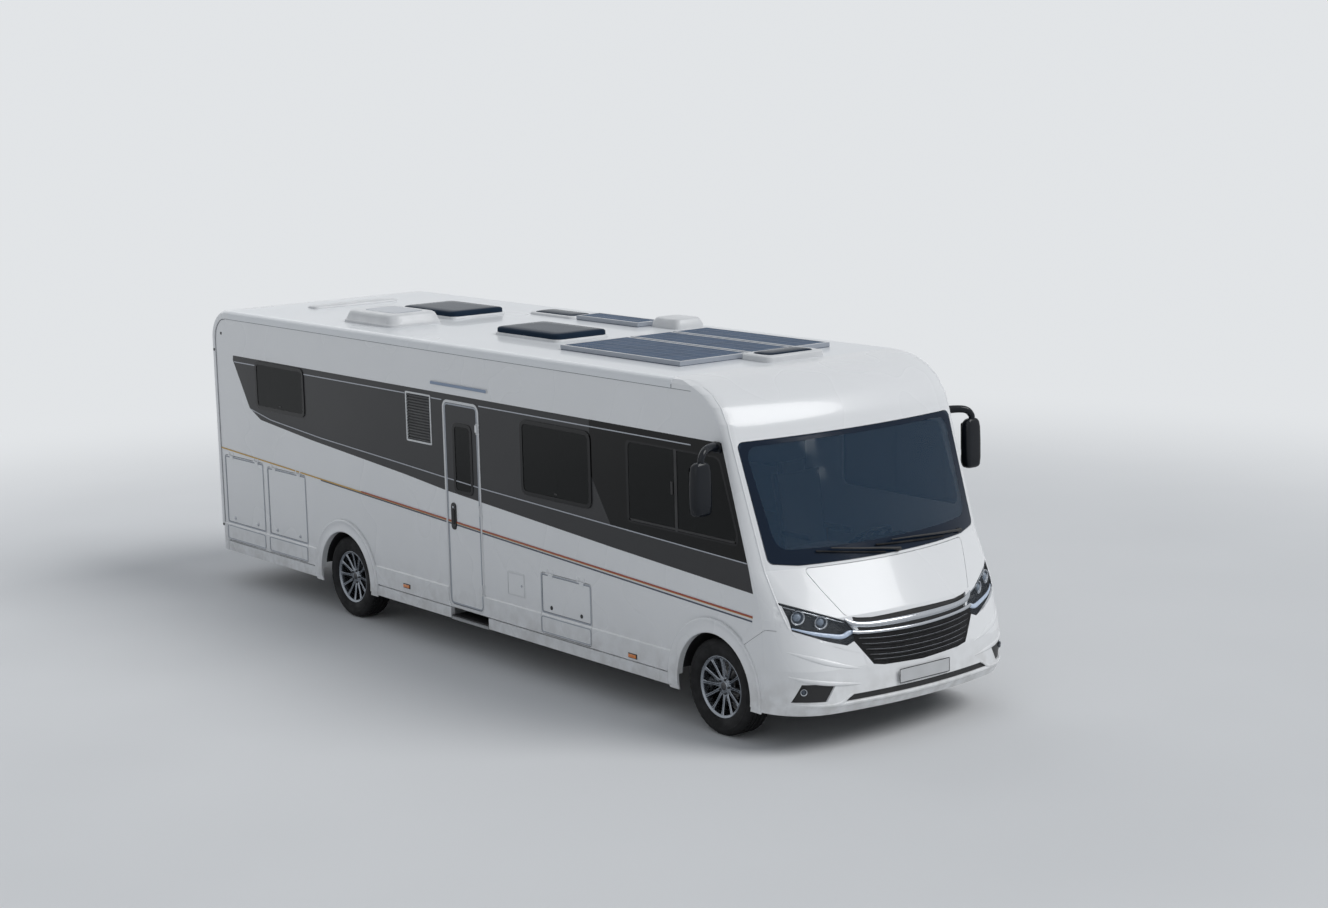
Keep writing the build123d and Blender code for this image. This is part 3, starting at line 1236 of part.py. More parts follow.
# Front suspension: a subframe with upper and lower arms to each knuckle
with BuildPart() as front_suspension:
    add(box_between(FRONT_AXLE - SUBFRAME_LENGTH / 2, FRONT_AXLE + SUBFRAME_LENGTH / 2, -RAIL_OUT, RAIL_OUT,
                    KNUCKLE_LOW - STUB_GAP - ARM_THICK, KNUCKLE_LOW - STUB_GAP + ARM_THICK * 2))
    for _, side in SIDES:
        with BuildSketch(Plane.XY.offset(KNUCKLE_LOW - STUB_GAP - ARM_THICK)):
            with BuildLine():
                Polyline(
                    (FRONT_AXLE - ARM_SPAN, side * RAIL_OUT),
                    (FRONT_AXLE - ARM_TIP, side * (KINGPIN_Y + ARM_TIP / 2)),
                    (FRONT_AXLE + ARM_TIP, side * (KINGPIN_Y + ARM_TIP / 2)),
                    (FRONT_AXLE + ARM_SPAN, side * RAIL_OUT),
                    close=True,
                )
            make_face()
            with BuildLine():
                Polyline(
                    (FRONT_AXLE - ARM_SPAN + ARM_FRAME, side * (RAIL_OUT + ARM_FRAME)),
                    (FRONT_AXLE, side * (KINGPIN_Y - ARM_OPEN)),
                    (FRONT_AXLE + ARM_SPAN - ARM_FRAME, side * (RAIL_OUT + ARM_FRAME)),
                    close=True,
                )
            make_face(mode=Mode.SUBTRACT)
            with Locations((FRONT_AXLE, side * KINGPIN_Y)):
                Circle(KINGPIN_R + PIN_GAP, mode=Mode.SUBTRACT)
        extrude(amount=ARM_THICK)
        for share in (-1, 1):
            x = FRONT_AXLE + share * (SUBFRAME_LENGTH - POST_W) / 2
            y_in, y_out = sorted((side * (RAIL_OUT - POST_W), side * RAIL_OUT))
            add(box_about(x, POST_W, y_in, y_out, KNUCKLE_LOW - STUB_GAP, RAIL_LOW))
        with BuildSketch(Plane.XY.offset(KNUCKLE_LOW - STUB_GAP)):
            with Locations((FRONT_AXLE, side * (KINGPIN_Y - DAMPER_IN))):
                Circle(DAMPER_R)
        extrude(amount=TYRE_R + ARCH_R - STUB_GAP - KNUCKLE_LOW)

# Rear axle: a beam with stubs into the rims and trailing arms
with BuildPart() as rear_axle:
    add(wheel_cylinder(REAR_AXLE, LEFT, AXLE_R, -(HUB_BACK - STUB_GAP), HUB_BACK - STUB_GAP))
    stub_reach = HUB_BACK + STUB_DEPTH - STUB_END
    add(wheel_cylinder(REAR_AXLE, LEFT, STUB_R, -stub_reach, stub_reach))
    for _, side in SIDES:
        add(wheel_cylinder(REAR_AXLE, side, DISC_R, KINGPIN_Y, KINGPIN_Y + DISC_THICK))
        pivot = REAR_AXLE + TRAIL_LENGTH
        y_in, y_out = sorted((side * (RAIL_Y + RAIL_W), side * (RAIL_Y + RAIL_W + TRAIL_W)))
        add(box_between(REAR_AXLE, pivot, y_in, y_out, TYRE_R - TRAIL_H / 2, TYRE_R + TRAIL_H / 2))
        add(box_between(pivot - TRAIL_W, pivot, y_in, y_out, TYRE_R, RAIL_Z))
        y_in, y_out = sorted((side * RAIL_OUT, side * (RAIL_Y + RAIL_W)))
        add(box_between(pivot - TRAIL_W, pivot, y_in, y_out, RAIL_LOW, RAIL_Z))
with BuildPart() as running_gear:
    add(front_suspension.part)
    add(rear_axle.part)
running_gear.part.label = "running_gear"
export_step(running_gear.part, "parts/running_gear.step")

# Engine, closed in behind the grille and above the subframe, on mounts between the rails
with BuildPart() as engine_block:
    engine_start = FRONT_AXLE + ENGINE_FROM_AXLE
    add(box_between(engine_start, X_FRONT - ENGINE_BACK, -ENGINE_HALF, ENGINE_HALF, *ENGINE_Z))
    mount_x = engine_start + ENGINE_MOUNT_W
    add(box_between(mount_x, mount_x + ENGINE_MOUNT_W, -WEB_IN, WEB_IN, RAIL_Z - ENGINE_MOUNT_H / 2,
                    RAIL_Z + ENGINE_MOUNT_H / 2))
engine_block.part.label = "engine_block"
export_step(engine_block.part, "parts/engine_block.step")

# Tanks hung from the floor beside the rails
with BuildPart() as tanks:
    tank_back, tank_front = (REAR_AXLE + ahead for ahead in TANK_AHEAD)
    for _, side in SIDES:
        y_in, y_out = sorted((side * RAIL_OUT, side * (WALL_BACK - TANK_IN)))
        add(box_between(tank_back, tank_front, y_in, y_out, TANK_LOW, FLOOR_UNDER))
    fillet([e for e in tanks.edges() if e.center().Z < TANK_LOW + SEAM], TANK_EDGE)
tanks.part.label = "tanks"
export_step(tanks.part, "parts/tanks.step")

# Dashboard, from the windscreen's base back to the steering wheel
with BuildPart() as dashboard:
    nose_x, shoulder_x = X_FRONT - DASH_NOSE, X_FRONT - DASH_SHOULDER
    with BuildSketch(Plane.XY.offset(DASH_TOP - DASH_H)):
        with BuildLine():
            ThreePointArc((shoulder_x, -WALL_BACK), (nose_x, 0), (shoulder_x, WALL_BACK))
            Polyline(
                (shoulder_x, WALL_BACK),
                (DASH_BACK, WALL_BACK),
                (DASH_BACK, -WALL_BACK),
                (shoulder_x, -WALL_BACK),
            )
        make_face()
    extrude(amount=DASH_H)
    fillet(dashboard.faces().sort_by(Axis.Z)[-1].edges().sort_by(Axis.X)[:1], DASH_EDGE)
dashboard.part.label = "dashboard"
export_step(dashboard.part, "parts/dashboard.step")

# Steering wheel with its column
with BuildPart() as steering_wheel:
    tilt = radians(WHEEL_TILT)
    wheel_middle = (DASH_BACK - WHEEL_BEHIND_DASH, WHEEL_SIDE, WHEEL_Z)
    wheel_plane = Plane(origin=wheel_middle, z_dir=(-cos(tilt), 0, sin(tilt)))
    with BuildSketch(wheel_plane):
        Circle(WHEEL_RING)
        Circle(WHEEL_RING - WHEEL_GRIP, mode=Mode.SUBTRACT)
        Rectangle(WHEEL_SPOKE, 2 * WHEEL_RING - WHEEL_GRIP)
        Circle(WHEEL_HUB)
    extrude(amount=WHEEL_THICK)
    with BuildSketch(wheel_plane):
        Circle(COLUMN_R)
    extrude(amount=-COLUMN_LENGTH)
    add(dashboard.part, mode=Mode.SUBTRACT)
steering_wheel.part.label = "steering_wheel"
export_step(steering_wheel.part, "parts/steering_wheel.step")

# Cab seats
with BuildPart() as cab_seats:
    for _, side in SIDES:
        seat_x = DASH_BACK - SEAT_BEHIND_DASH
        with BuildSketch(side_plane(LEFT, side * SEAT_Y + SEAT_W / 2)):
            with BuildLine():
                Polyline(*[(seat_x + x, FLOOR_Z + z) for x, z in SEAT_OUTLINE], close=True)
            make_face()
        extrude(amount=SEAT_W)
cab_seats.part.label = "cab_seats"
export_step(cab_seats.part, "parts/cab_seats.step")

# Furniture seen dimly through the panes: kitchen block, bench, wardrobe
with BuildPart() as furniture:
    for _, start, end, y_low, y_high, low, high in FURNITURE:
        add(box_between(X_REAR + start, X_REAR + end, y_low, y_high, FLOOR_Z + low, FLOOR_Z + high))
furniture.part.label = "furniture"
export_step(furniture.part, "parts/furniture.step")

# Sliding step below the entry door, and the case it runs under
step_start, step_end = STEP_X - STEP_W / 2, STEP_X + STEP_W / 2
case_y = STEP_DEPTH + STEP_CASE_LONGER - SKIRT_FACE
case_z = STEP_Z + STEP_RUN
with BuildPart() as entry_step:
    add(box_between(step_start, step_end, -SKIRT_FACE, STEP_DEPTH - SKIRT_FACE, STEP_Z - STEP_THICK, STEP_Z))
entry_step.part.label = "entry_step"
export_step(entry_step.part, "parts/entry_step.step")
with BuildPart() as step_case:
    add(box_between(step_start, step_end, STEP_CLEAR - SKIRT_FACE, case_y, case_z, case_z + STEP_CASE))
    add(box_between(step_start, step_end, STEP_DEPTH + STEP_HANGER - SKIRT_FACE, case_y, case_z, FLOOR_UNDER))
with BuildPart() as chassis_frame:
    add(chassis.part)
    add(exhaust.part)
    add(step_case.part)
chassis_frame.part.label = "chassis_frame"
export_step(chassis_frame.part, "parts/chassis_frame.step")

# Wipers parked along the windscreen's base, each on a post from the glass


def ahead_of_glass(y, z, out):
    """A point ahead of the windscreen's outer face by out."""
    lower, upper = NOSE[4], NOSE[5]
    share = (z - lower[0]) / (upper[0] - lower[0])
    back, knee_in, bow = (lower[k] + share * (upper[k] - lower[k]) for k in (1, 2, 3))
    return (X_FRONT - back - bow * (y / (HALF - knee_in)) ** 2 + out, y, z)


with BuildPart() as wipers:
    for start_y, end_y in WIPER_RUNS:
        with BuildLine() as blade:
            Polyline(
                ahead_of_glass(start_y, WIPER_Z[0], WIPER_OUT),
                ahead_of_glass((start_y + end_y) / 2, WIPER_Z[1], WIPER_OUT),
                ahead_of_glass(end_y, WIPER_Z[2], WIPER_OUT),
            )
        with BuildSketch(Plane(origin=blade.line @ 0, z_dir=blade.line % 0)):
            Circle(WIPER_R)
        sweep(transition=Transition.ROUND)
        with BuildSketch(Plane(origin=ahead_of_glass(start_y, WIPER_Z[0], WIPER_OUT), z_dir=(-1, 0, 0))):
            Circle(WIPER_R)
        extrude(amount=2 * WIPER_OUT)
    add(nose_outer, mode=Mode.SUBTRACT)
wipers.part.label = "wipers"
export_step(wipers.part, "parts/wipers.step")
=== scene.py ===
from math import cos, pi, radians, sin, sqrt, tau

import bmesh
import bpy
from mathutils import Matrix, Vector
from mathutils.bvhtree import BVHTree


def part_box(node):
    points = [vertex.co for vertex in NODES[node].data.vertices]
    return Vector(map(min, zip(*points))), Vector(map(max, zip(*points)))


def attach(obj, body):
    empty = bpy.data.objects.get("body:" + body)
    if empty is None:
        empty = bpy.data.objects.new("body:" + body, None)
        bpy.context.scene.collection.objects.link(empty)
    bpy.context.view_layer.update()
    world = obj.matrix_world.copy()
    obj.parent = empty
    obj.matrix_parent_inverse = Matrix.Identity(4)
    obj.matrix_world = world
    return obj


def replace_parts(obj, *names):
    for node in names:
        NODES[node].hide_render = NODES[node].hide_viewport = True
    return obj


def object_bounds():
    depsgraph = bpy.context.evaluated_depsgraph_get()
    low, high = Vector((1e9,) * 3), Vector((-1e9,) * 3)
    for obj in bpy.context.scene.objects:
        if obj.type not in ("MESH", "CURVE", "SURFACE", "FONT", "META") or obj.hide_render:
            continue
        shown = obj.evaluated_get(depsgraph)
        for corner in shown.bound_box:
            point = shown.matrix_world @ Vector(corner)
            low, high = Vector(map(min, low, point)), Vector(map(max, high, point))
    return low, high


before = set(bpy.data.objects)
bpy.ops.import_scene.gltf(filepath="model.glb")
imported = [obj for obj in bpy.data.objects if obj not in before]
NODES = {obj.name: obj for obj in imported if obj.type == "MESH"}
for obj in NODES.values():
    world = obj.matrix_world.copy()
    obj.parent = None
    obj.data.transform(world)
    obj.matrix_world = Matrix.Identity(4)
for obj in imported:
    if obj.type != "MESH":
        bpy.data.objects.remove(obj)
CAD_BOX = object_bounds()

RIGHT, LEFT = -1, 1
SIDES = (("right", RIGHT), ("left", LEFT))

# Places of the frame, in metres
REAR_X = CAD_BOX[0][0]
NOSE_X = CAD_BOX[1][0]
WALL_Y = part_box("cab_windows")[1][1]
EDGE_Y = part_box("lower_trim")[1][1]
ROOF_Z = 2.7
FRONT_AXLE = 3.302
REAR_AXLE = -1.998
WHEEL_Y = 0.998
TYRE_R = 0.374
# How far one thin layer lies over the one below
LIFT = 0.0006


def from_rear(distance):
    """The x of a place given by its distance from the rear."""
    return REAR_X + distance


# Finishes
def new_node(tree, kind, **values):
    """A new node with its properties and unlinked inputs set."""
    made = tree.nodes.new(kind)
    for name, value in values.items():
        if hasattr(made, name):
            setattr(made, name, value)
        else:
            made.inputs[name.replace("_", " ")].default_value = value
    return made


class Finish:
    """A node material built up step by step on one Principled shader."""

    def __init__(self, name, colour, roughness, **sockets):
        self.material = bpy.data.materials.new(name)
        self.material.use_nodes = True
        self.tree = self.material.node_tree
        self.shader = self.tree.nodes["Principled BSDF"]
        self.colour = colour
        self.roughness = roughness
        for socket, value in {"Base Color": (*colour, 1.0), "Roughness": roughness, **sockets}.items():
            self.shader.inputs[socket.replace("_", " ")].default_value = value
        self.place = self.node("ShaderNodeTexCoord").outputs["Object"]

    def node(self, kind, **values):
        return new_node(self.tree, kind, **values)

    def link(self, source, target):
        self.tree.links.new(source, target)

    def scaled(self, scale):
        """The place on the object, scaled along its axes."""
        mapping = self.node("ShaderNodeMapping", Scale=scale)
        self.link(self.place, mapping.inputs["Vector"])
        return mapping.outputs["Vector"]

    def noise(self, scale, detail=3.0, stretch=(1.0, 1.0, 1.0)):
        """Noise over the surface, stretched along an axis where the grain runs."""
        texture = self.node("ShaderNodeTexNoise", Scale=scale, Detail=detail)
        self.link(self.scaled(stretch), texture.inputs["Vector"])
        return texture.outputs["Fac"]

    def waves(self, scale, direction):
        """Straight bands across one axis."""
        texture = self.node("ShaderNodeTexWave", bands_direction=direction, Scale=scale, Distortion=0.0)
        self.link(self.place, texture.inputs["Vector"])
        return texture.outputs["Fac"]

    def ramp(self, source, low, high, start=0.0, end=1.0):
        """A value read between two limits."""
        node = self.node("ShaderNodeMapRange", interpolation_type="SMOOTHSTEP", From_Min=low, From_Max=high,
                         To_Min=start, To_Max=end)
        self.link(source, node.inputs["Value"])
        return node.outputs["Result"]

    def blend_colour(self, factor, other):
        """The colour so far, turning to another where the factor is high."""
        mix = self.node("ShaderNodeMix", data_type="RGBA")
        current = self.shader.inputs["Base Color"]
        if current.is_linked:
            self.link(current.links[0].from_socket, mix.inputs["A"])
        else:
            mix.inputs["A"].default_value = current.default_value
        mix.inputs["B"].default_value = (*other, 1.0)
        self.link(factor, mix.inputs["Factor"])
        self.link(mix.outputs["Result"], current)
        return self

    def mottle(self, scale, amount, detail=4.0, stretch=(1.0, 1.0, 1.0)):
        """Slight change of tone and gloss over the surface."""
        source = self.noise(scale, detail, stretch)
        darker = tuple(channel * (1.0 - amount) for channel in self.colour)
        self.blend_colour(self.ramp(source, 0.15, 0.85), darker)
        rough = self.ramp(source, 0.2, 0.8, self.roughness * 0.85, min(self.roughness * 1.2, 1.0))
        self.link(rough, self.shader.inputs["Roughness"])
        return self

    def product(self, first, second):
        """One value times another."""
        node = self.node("ShaderNodeMath", operation="MULTIPLY")
        self.link(first, node.inputs[0])
        self.link(second, node.inputs[1])
        return node.outputs["Value"]

    def dusty(self, low, high, colour=(0.33, 0.31, 0.28), share=0.35):
        """Road dust that thickens towards the ground."""
        split = self.node("ShaderNodeSeparateXYZ")
        self.link(self.place, split.inputs["Vector"])
        fade = self.ramp(split.outputs["Z"], high, low, 0.0, share)
        return self.blend_colour(self.product(fade, self.ramp(self.noise(9.0, 6.0), 0.3, 0.7)), colour)

    def bump(self, source, strength, distance):
        """Relief from a value."""
        node = self.node("ShaderNodeBump", Strength=strength, Distance=distance)
        self.link(source, node.inputs["Height"])
        normal = self.shader.inputs["Normal"]
        if normal.is_linked:
            self.link(normal.links[0].from_socket, node.inputs["Normal"])
        self.link(node.outputs["Normal"], normal)
        return self

    def woven(self, scale, strength, distance, first="Y"):
        """Relief in two crossing rows of bands."""
        self.bump(self.waves(scale, first), strength, distance)
        return self.bump(self.waves(scale, "Z"), strength, distance)


def painted(name, colour, roughness=0.26, dust=True, coat=0.35, specular=0.4):
    """Gloss paint under a clear coat, with faint orange peel."""
    finish = Finish(name, colour, roughness, Coat_Weight=coat, Coat_Roughness=0.06, Specular_IOR_Level=specular)
    finish.mottle(1.3, 0.02, 1.0)
    if dust:
        finish.dusty(0.25, 0.75)
    return finish.bump(finish.noise(420.0, 2.0), 0.03, 0.0005).material


def moulded(name, colour, roughness=0.55, grain=900.0):
    """Moulded plastic with a fine grain."""
    finish = Finish(name, colour, roughness).mottle(5.0, 0.12)
    return finish.bump(finish.noise(grain, 2.0), 0.18, 0.0006).material


def metal(name, colour, roughness, stretch=(1.0, 1.0, 1.0), metallic=1.0):
    """Bare or plated metal with fine brushed variation."""
    finish = Finish(name, colour, roughness, Metallic=metallic).mottle(60.0, 0.08, 3.0, stretch)
    return finish.bump(finish.noise(500.0, 2.0, stretch), 0.03, 0.0003).material


def see_through(name, colour, alpha, roughness=0.03, specular=0.3):
    """Tinted glass or acrylic: part of the light passes."""
    finish = Finish(name, colour, roughness, Alpha=alpha, IOR=1.45, Specular_IOR_Level=specular)
    finish.mottle(0.9, 0.1, 1.0)
    return finish.bump(finish.noise(2.2, 1.0), 0.02, 0.002).material


def lens(name, colour, glow=0.0):
    """A lamp's coloured lens with its prism pattern."""
    finish = Finish(name, colour, 0.12, Coat_Weight=1.0, Coat_Roughness=0.03, Emission_Color=(*colour, 1.0),
                    Emission_Strength=glow)
    return finish.mottle(35.0, 0.25).woven(70.0, 0.25, 0.001).material


def cloth(name, colour):
    """Woven seat cloth."""
    return Finish(name, colour, 0.85, Sheen_Weight=0.3).mottle(30.0, 0.18).woven(420.0, 0.35, 0.0006, "X").material


def timber(name, colour):
    """Cabinet veneer with its grain running along the vehicle."""
    finish = Finish(name, colour, 0.42, Coat_Weight=0.2).mottle(16.0, 0.45, 8.0, (0.12, 1.0, 1.0))
    return finish.bump(finish.noise(70.0, 4.0, (0.08, 1.0, 1.0)), 0.1, 0.0008).material


def rubber(name):
    """Tyre rubber with dust in its texture."""
    finish = Finish(name, (0.011, 0.011, 0.012), 0.75, Specular_IOR_Level=0.3).mottle(12.0, 0.35)
    finish.blend_colour(finish.ramp(finish.noise(40.0, 6.0), 0.55, 0.9, 0.0, 0.25), (0.07, 0.065, 0.06))
    return finish.bump(finish.noise(260.0, 3.0), 0.25, 0.0008).material


def worn_steel(name, colour, rust=0.35):
    """Painted steel under the floor, with rust and dust."""
    finish = Finish(name, colour, 0.55, Metallic=0.4).mottle(8.0, 0.3)
    finish.blend_colour(finish.ramp(finish.noise(14.0, 7.0), 0.55, 0.8, 0.0, rust), (0.10, 0.045, 0.022))
    return finish.bump(finish.noise(90.0, 4.0), 0.3, 0.001).material


def solar_cells(name):
    """Dark blue cells between silver lines."""
    finish = Finish(name, (0.035, 0.075, 0.15), 0.2, IOR=1.03)
    brick = finish.node("ShaderNodeTexBrick", offset=0.0, Scale=1.0, Mortar_Size=0.018, Brick_Width=1.0, Row_Height=1.0,
                        Color1=(0.030, 0.066, 0.130, 1.0), Color2=(0.038, 0.082, 0.160, 1.0),
                        Mortar=(0.22, 0.26, 0.32, 1.0))
    finish.link(finish.scaled((8.0, 8.0, 8.0)), brick.inputs["Vector"])
    finish.link(brick.outputs["Color"], finish.shader.inputs["Base Color"])
    return finish.bump(finish.waves(160.0, "X"), 0.08, 0.0004).material


def roof_glass(name, colour):
    """Dark acrylic of the skylights; its weak mirror keeps it dark in a low view."""
    finish = Finish(name, colour, 0.12, IOR=1.05).mottle(3.0, 0.2, 2.0)
    return finish.bump(finish.noise(5.0, 1.0), 0.02, 0.001).material


def grille_mesh(name):
    """Black mesh with small open cells."""
    finish = Finish(name, (0.007, 0.007, 0.008), 0.55, Specular_IOR_Level=0.2).mottle(20.0, 0.3)
    return finish.woven(60.0, 0.6, 0.002).material


def ribbed(name, colour):
    """Aluminium tread plate with ribs across."""
    finish = Finish(name, colour, 0.38, Metallic=0.9).mottle(20.0, 0.2)
    return finish.bump(finish.waves(36.0, "X"), 0.6, 0.002).material


WHITE = painted("body_white", (0.80, 0.81, 0.82))
ROOF_WHITE = painted("roof_white", (0.78, 0.80, 0.82), 0.3, dust=False)
TRIM_WHITE = moulded("trim_white", (0.72, 0.73, 0.74), 0.35)
BAND_GREY = painted("band_grey", (0.038, 0.038, 0.040), 0.32, dust=False, coat=0.0, specular=0.25)
FIELD_BLACK = painted("field_black", (0.006, 0.006, 0.006), 0.14, dust=False, coat=0.0, specular=0.16)
SILVER_LINE = metal("silver_line", (0.42, 0.44, 0.48), 0.35, metallic=0.4)
GOLD_LINE = metal("gold_line", (0.55, 0.34, 0.08), 0.4, metallic=0.3)
RED_LINE = painted("red_line", (0.36, 0.045, 0.02), 0.3, dust=False)
NAVY_LINE = painted("navy_line", (0.035, 0.05, 0.085), 0.3, dust=False)
BAR_BLUE = see_through("light_bar_lens", (0.30, 0.38, 0.52), 0.92, 0.15)
EDGE_GREY = painted("edge_grey", (0.36, 0.39, 0.44), 0.3, dust=False)
SCREEN_BLACK = painted("screen_black", (0.006, 0.014, 0.030), 0.14, dust=False, coat=0.0, specular=0.14)
VENT_GREY = moulded("vent_grey", (0.055, 0.056, 0.058), 0.45)
# Dark grey for the real seams and joints, and also for the painted shadow inside the locker borders
SEAM_AND_SHADOW_GREY = moulded("seam_and_shadow_grey", (0.13, 0.14, 0.16), 0.6)
BLACK_PLASTIC = moulded("black_plastic", (0.010, 0.010, 0.011), 0.5)
GRILLE_MESH = grille_mesh("grille_mesh")
GLOSS_BLACK = painted("gloss_black", (0.005, 0.005, 0.006), 0.12, dust=False, coat=0.0, specular=0.25)
MIRROR_BLACK = painted("mirror_black", (0.007, 0.009, 0.013), 0.2, dust=False, coat=0.0, specular=0.25)
CHROME = metal("chrome", (0.50, 0.52, 0.55), 0.10)
SATIN_CHROME = metal("satin_chrome", (0.42, 0.44, 0.47), 0.22)
ALLOY = metal("alloy", (0.27, 0.29, 0.32), 0.26)
DARK_ALLOY = metal("dark_alloy", (0.09, 0.09, 0.095), 0.4)
DISC_STEEL = metal("disc_steel", (0.30, 0.29, 0.28), 0.35)
WINDOW_TINT = see_through("window_tint", (0.006, 0.007, 0.007), 0.90, 0.03, 0.16)
SCREEN_GLASS = see_through("screen_glass", (0.040, 0.078, 0.130), 0.36, 0.02, 0.22)
CLEAR_LENS = see_through("clear_lens", (0.45, 0.50, 0.56), 0.05, 0.02, 0.22)
BULB_GLASS = see_through("bulb_glass", (0.30, 0.36, 0.44), 0.75)
FOG_GLASS = see_through("fog_glass", (0.10, 0.12, 0.15), 0.75)
MIRROR_GLASS = metal("mirror_glass", (0.75, 0.78, 0.80), 0.03)
LED_STRIP = lens("led_strip", (0.50, 0.60, 0.76), 0.10)
RED_LENS = lens("red_lens", (0.42, 0.012, 0.012), 0.05)
AMBER_LENS = lens("amber_lens", (0.72, 0.20, 0.015), 0.05)
CLEAR_REVERSE = lens("clear_reverse", (0.62, 0.63, 0.64))
PLATE = moulded("plate_blank", (0.55, 0.56, 0.57), 0.4)
TYRE = rubber("tyre_rubber")
SOLAR = solar_cells("solar_cells")
SKY_GLASS = roof_glass("skylight_glass", (0.020, 0.034, 0.056))
STEEL = worn_steel("chassis_steel", (0.035, 0.035, 0.038))
TANK = moulded("tank_plastic", (0.05, 0.05, 0.053), 0.6, 300.0)
IRON = worn_steel("engine_iron", (0.10, 0.10, 0.10), 0.2)
STEP_TREAD = ribbed("step_tread", (0.42, 0.43, 0.44))
DASH = moulded("dash_plastic", (0.16, 0.17, 0.19), 0.6, 700.0)
CLOTH = cloth("seat_cloth", (0.20, 0.185, 0.17))
CLOTH_DARK = cloth("seat_cloth_dark", (0.055, 0.055, 0.06))
WOOD = timber("cabinet_wood", (0.30, 0.18, 0.09))
VINYL = timber("floor_vinyl", (0.16, 0.13, 0.10))
UNDERBODY = moulded("underbody", (0.06, 0.06, 0.062), 0.7, 200.0)


# Meshes
def place_object(name, data, material, body):
    """An object of the scene that rides on a body."""
    data.materials.append(material)
    thing = bpy.data.objects.new(name, data)
    bpy.context.scene.collection.objects.link(thing)
    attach(thing, body)
    return thing


def mesh_piece(name, points, faces, material, crease=35.0, bevel=0.0, body="body"):
    """A mesh piece from points and faces, smooth but for its creases."""
    mesh = bpy.data.meshes.new(name)
    mesh.from_pydata([tuple(point) for point in points], [], faces)
    mesh.update()
    mesh.shade_smooth()
    mesh.set_sharp_from_angle(angle=radians(crease))
    thing = place_object(name, mesh, material, body)
    if bevel:
        edge = thing.modifiers.new("edge", "BEVEL")
        edge.width = bevel
        edge.segments = 3
        edge.limit_method = "ANGLE"
        edge.angle_limit = radians(crease)
    return thing


def merge(name, parts, material, crease=35.0, bevel=0.0, body="body"):
    """One piece from several (points, faces) parts."""
    points, faces = [], []
    for part_points, part_faces in parts:
        start = len(points)
        points.extend(part_points)
        faces.extend(tuple(start + index for index in face) for face in part_faces)
    return mesh_piece(name, points, faces, material, crease, bevel, body)


def moved(parts, place):
    """Parts carried to a place."""
    return [([place @ Vector(point) for point in points], faces) for points, faces in parts]


def rings(loops, capped=True):
    """Points and faces of a skin over closed loops that have the same number of points."""
    count = len(loops[0])
    points = [Vector(point) for loop in loops for point in loop]
    faces = []
    for row in range(0, (len(loops) - 1) * count, count):
        for k in range(count):
            after = (k + 1) % count
            faces.append((row + k, row + after, row + count + after, row + count + k))
    if capped:
        faces.append(tuple(reversed(range(count))))
        faces.append(tuple(range(len(points) - count, len(points))))
    return points, faces


def block(low, high):
    """Points and faces of a box between two corners."""
    (x0, y0, z0), (x1, y1, z1) = low, high
    base = [(x0, y0), (x1, y0), (x1, y1), (x0, y1)]
    return rings([[(x, y, z0) for x, y in base], [(x, y, z1) for x, y in base]])


def mirrored_block(side, low, high):
    """A box whose y limits are given outwards on one side."""
    y0, y1 = sorted((side * low[1], side * high[1]))
    return block((low[0], y0, low[2]), (high[0], y1, high[2]))


def turned(profile, steps):
    """Points and faces of a closed profile of (radius, along y) turned about the y axis."""
    turns = [tau * k / steps for k in range(steps)]
    points, faces = rings([[(r * cos(a), w, r * sin(a)) for r, w in profile] for a in turns], capped=False)
    count, final = len(profile), (steps - 1) * len(profile)
    faces += [(final + k, final + (k + 1) % count, (k + 1) % count, k) for k in range(count)]
    return points, faces


def rounded(corners, radius, steps=6):
    """A polygon with round corners."""
    outline = []
    count = len(corners)
    for index, corner in enumerate(corners):
        here = Vector(corner)
        before = Vector(corners[index - 1]) - here
        after = Vector(corners[(index + 1) % count]) - here
        reach = min(radius, before.length / 2, after.length / 2)
        start = here + before.normalized() * reach
        end = here + after.normalized() * reach
        for k in range(steps + 1):
            s = k / steps
            outline.append(tuple(start * (1 - s) ** 2 + here * 2 * s * (1 - s) + end * s**2))
    return outline


def rectangle(x0, x1, z0, z1, radius=0.0, grow=0.0):
    """A rectangle's outline, grown or shrunk, with round corners."""
    corners = ((x0 - grow, z0 - grow), (x1 + grow, z0 - grow), (x1 + grow, z1 + grow), (x0 - grow, z1 + grow))
    return rounded(corners, max(radius + grow, 0.001)) if radius else list(corners)


def standing(x_row, y_row):
    """Turns a drawing whose second axis is up, its thickness along the place's third column."""
    return Matrix((x_row, y_row, (0, 1, 0, 0), (0, 0, 0, 1)))


def side_place(side, y):
    """Turns a drawing in x and z into the side at distance y, its thickness outwards."""
    return standing((1, 0, 0, 0), (0, 0, side, side * y))


def end_place(way, x):
    """Turns a drawing in y and z into the front (way 1) or rear (way -1) at x, its thickness outwards."""
    return standing((0, 0, way, x), (1, 0, 0, 0))


def filled(name, outline, holes, half_depth=0.0, bevel=0.0):
    """A mesh that fills an outline, with its holes left open."""
    curve = bpy.data.curves.new(name, "CURVE")
    curve.dimensions = "2D"
    curve.fill_mode = "BOTH"
    curve.extrude = half_depth - bevel
    curve.bevel_depth = bevel
    curve.bevel_resolution = 2
    curve.offset = -bevel
    for loop in [outline, *holes]:
        spline = curve.splines.new("POLY")
        spline.points.add(len(loop) - 1)
        for point, (u, v) in zip(spline.points, loop):
            point.co = (u, v, 0.0, 1.0)
        spline.use_cyclic_u = True
    holder = bpy.data.objects.new(name + "_outline", curve)
    bpy.context.scene.collection.objects.link(holder)
    evaluated = holder.evaluated_get(bpy.context.evaluated_depsgraph_get())
    mesh = bpy.data.meshes.new_from_object(evaluated)
    bpy.data.objects.remove(holder)
    mesh.materials.clear()
    mesh.name = name
    return mesh


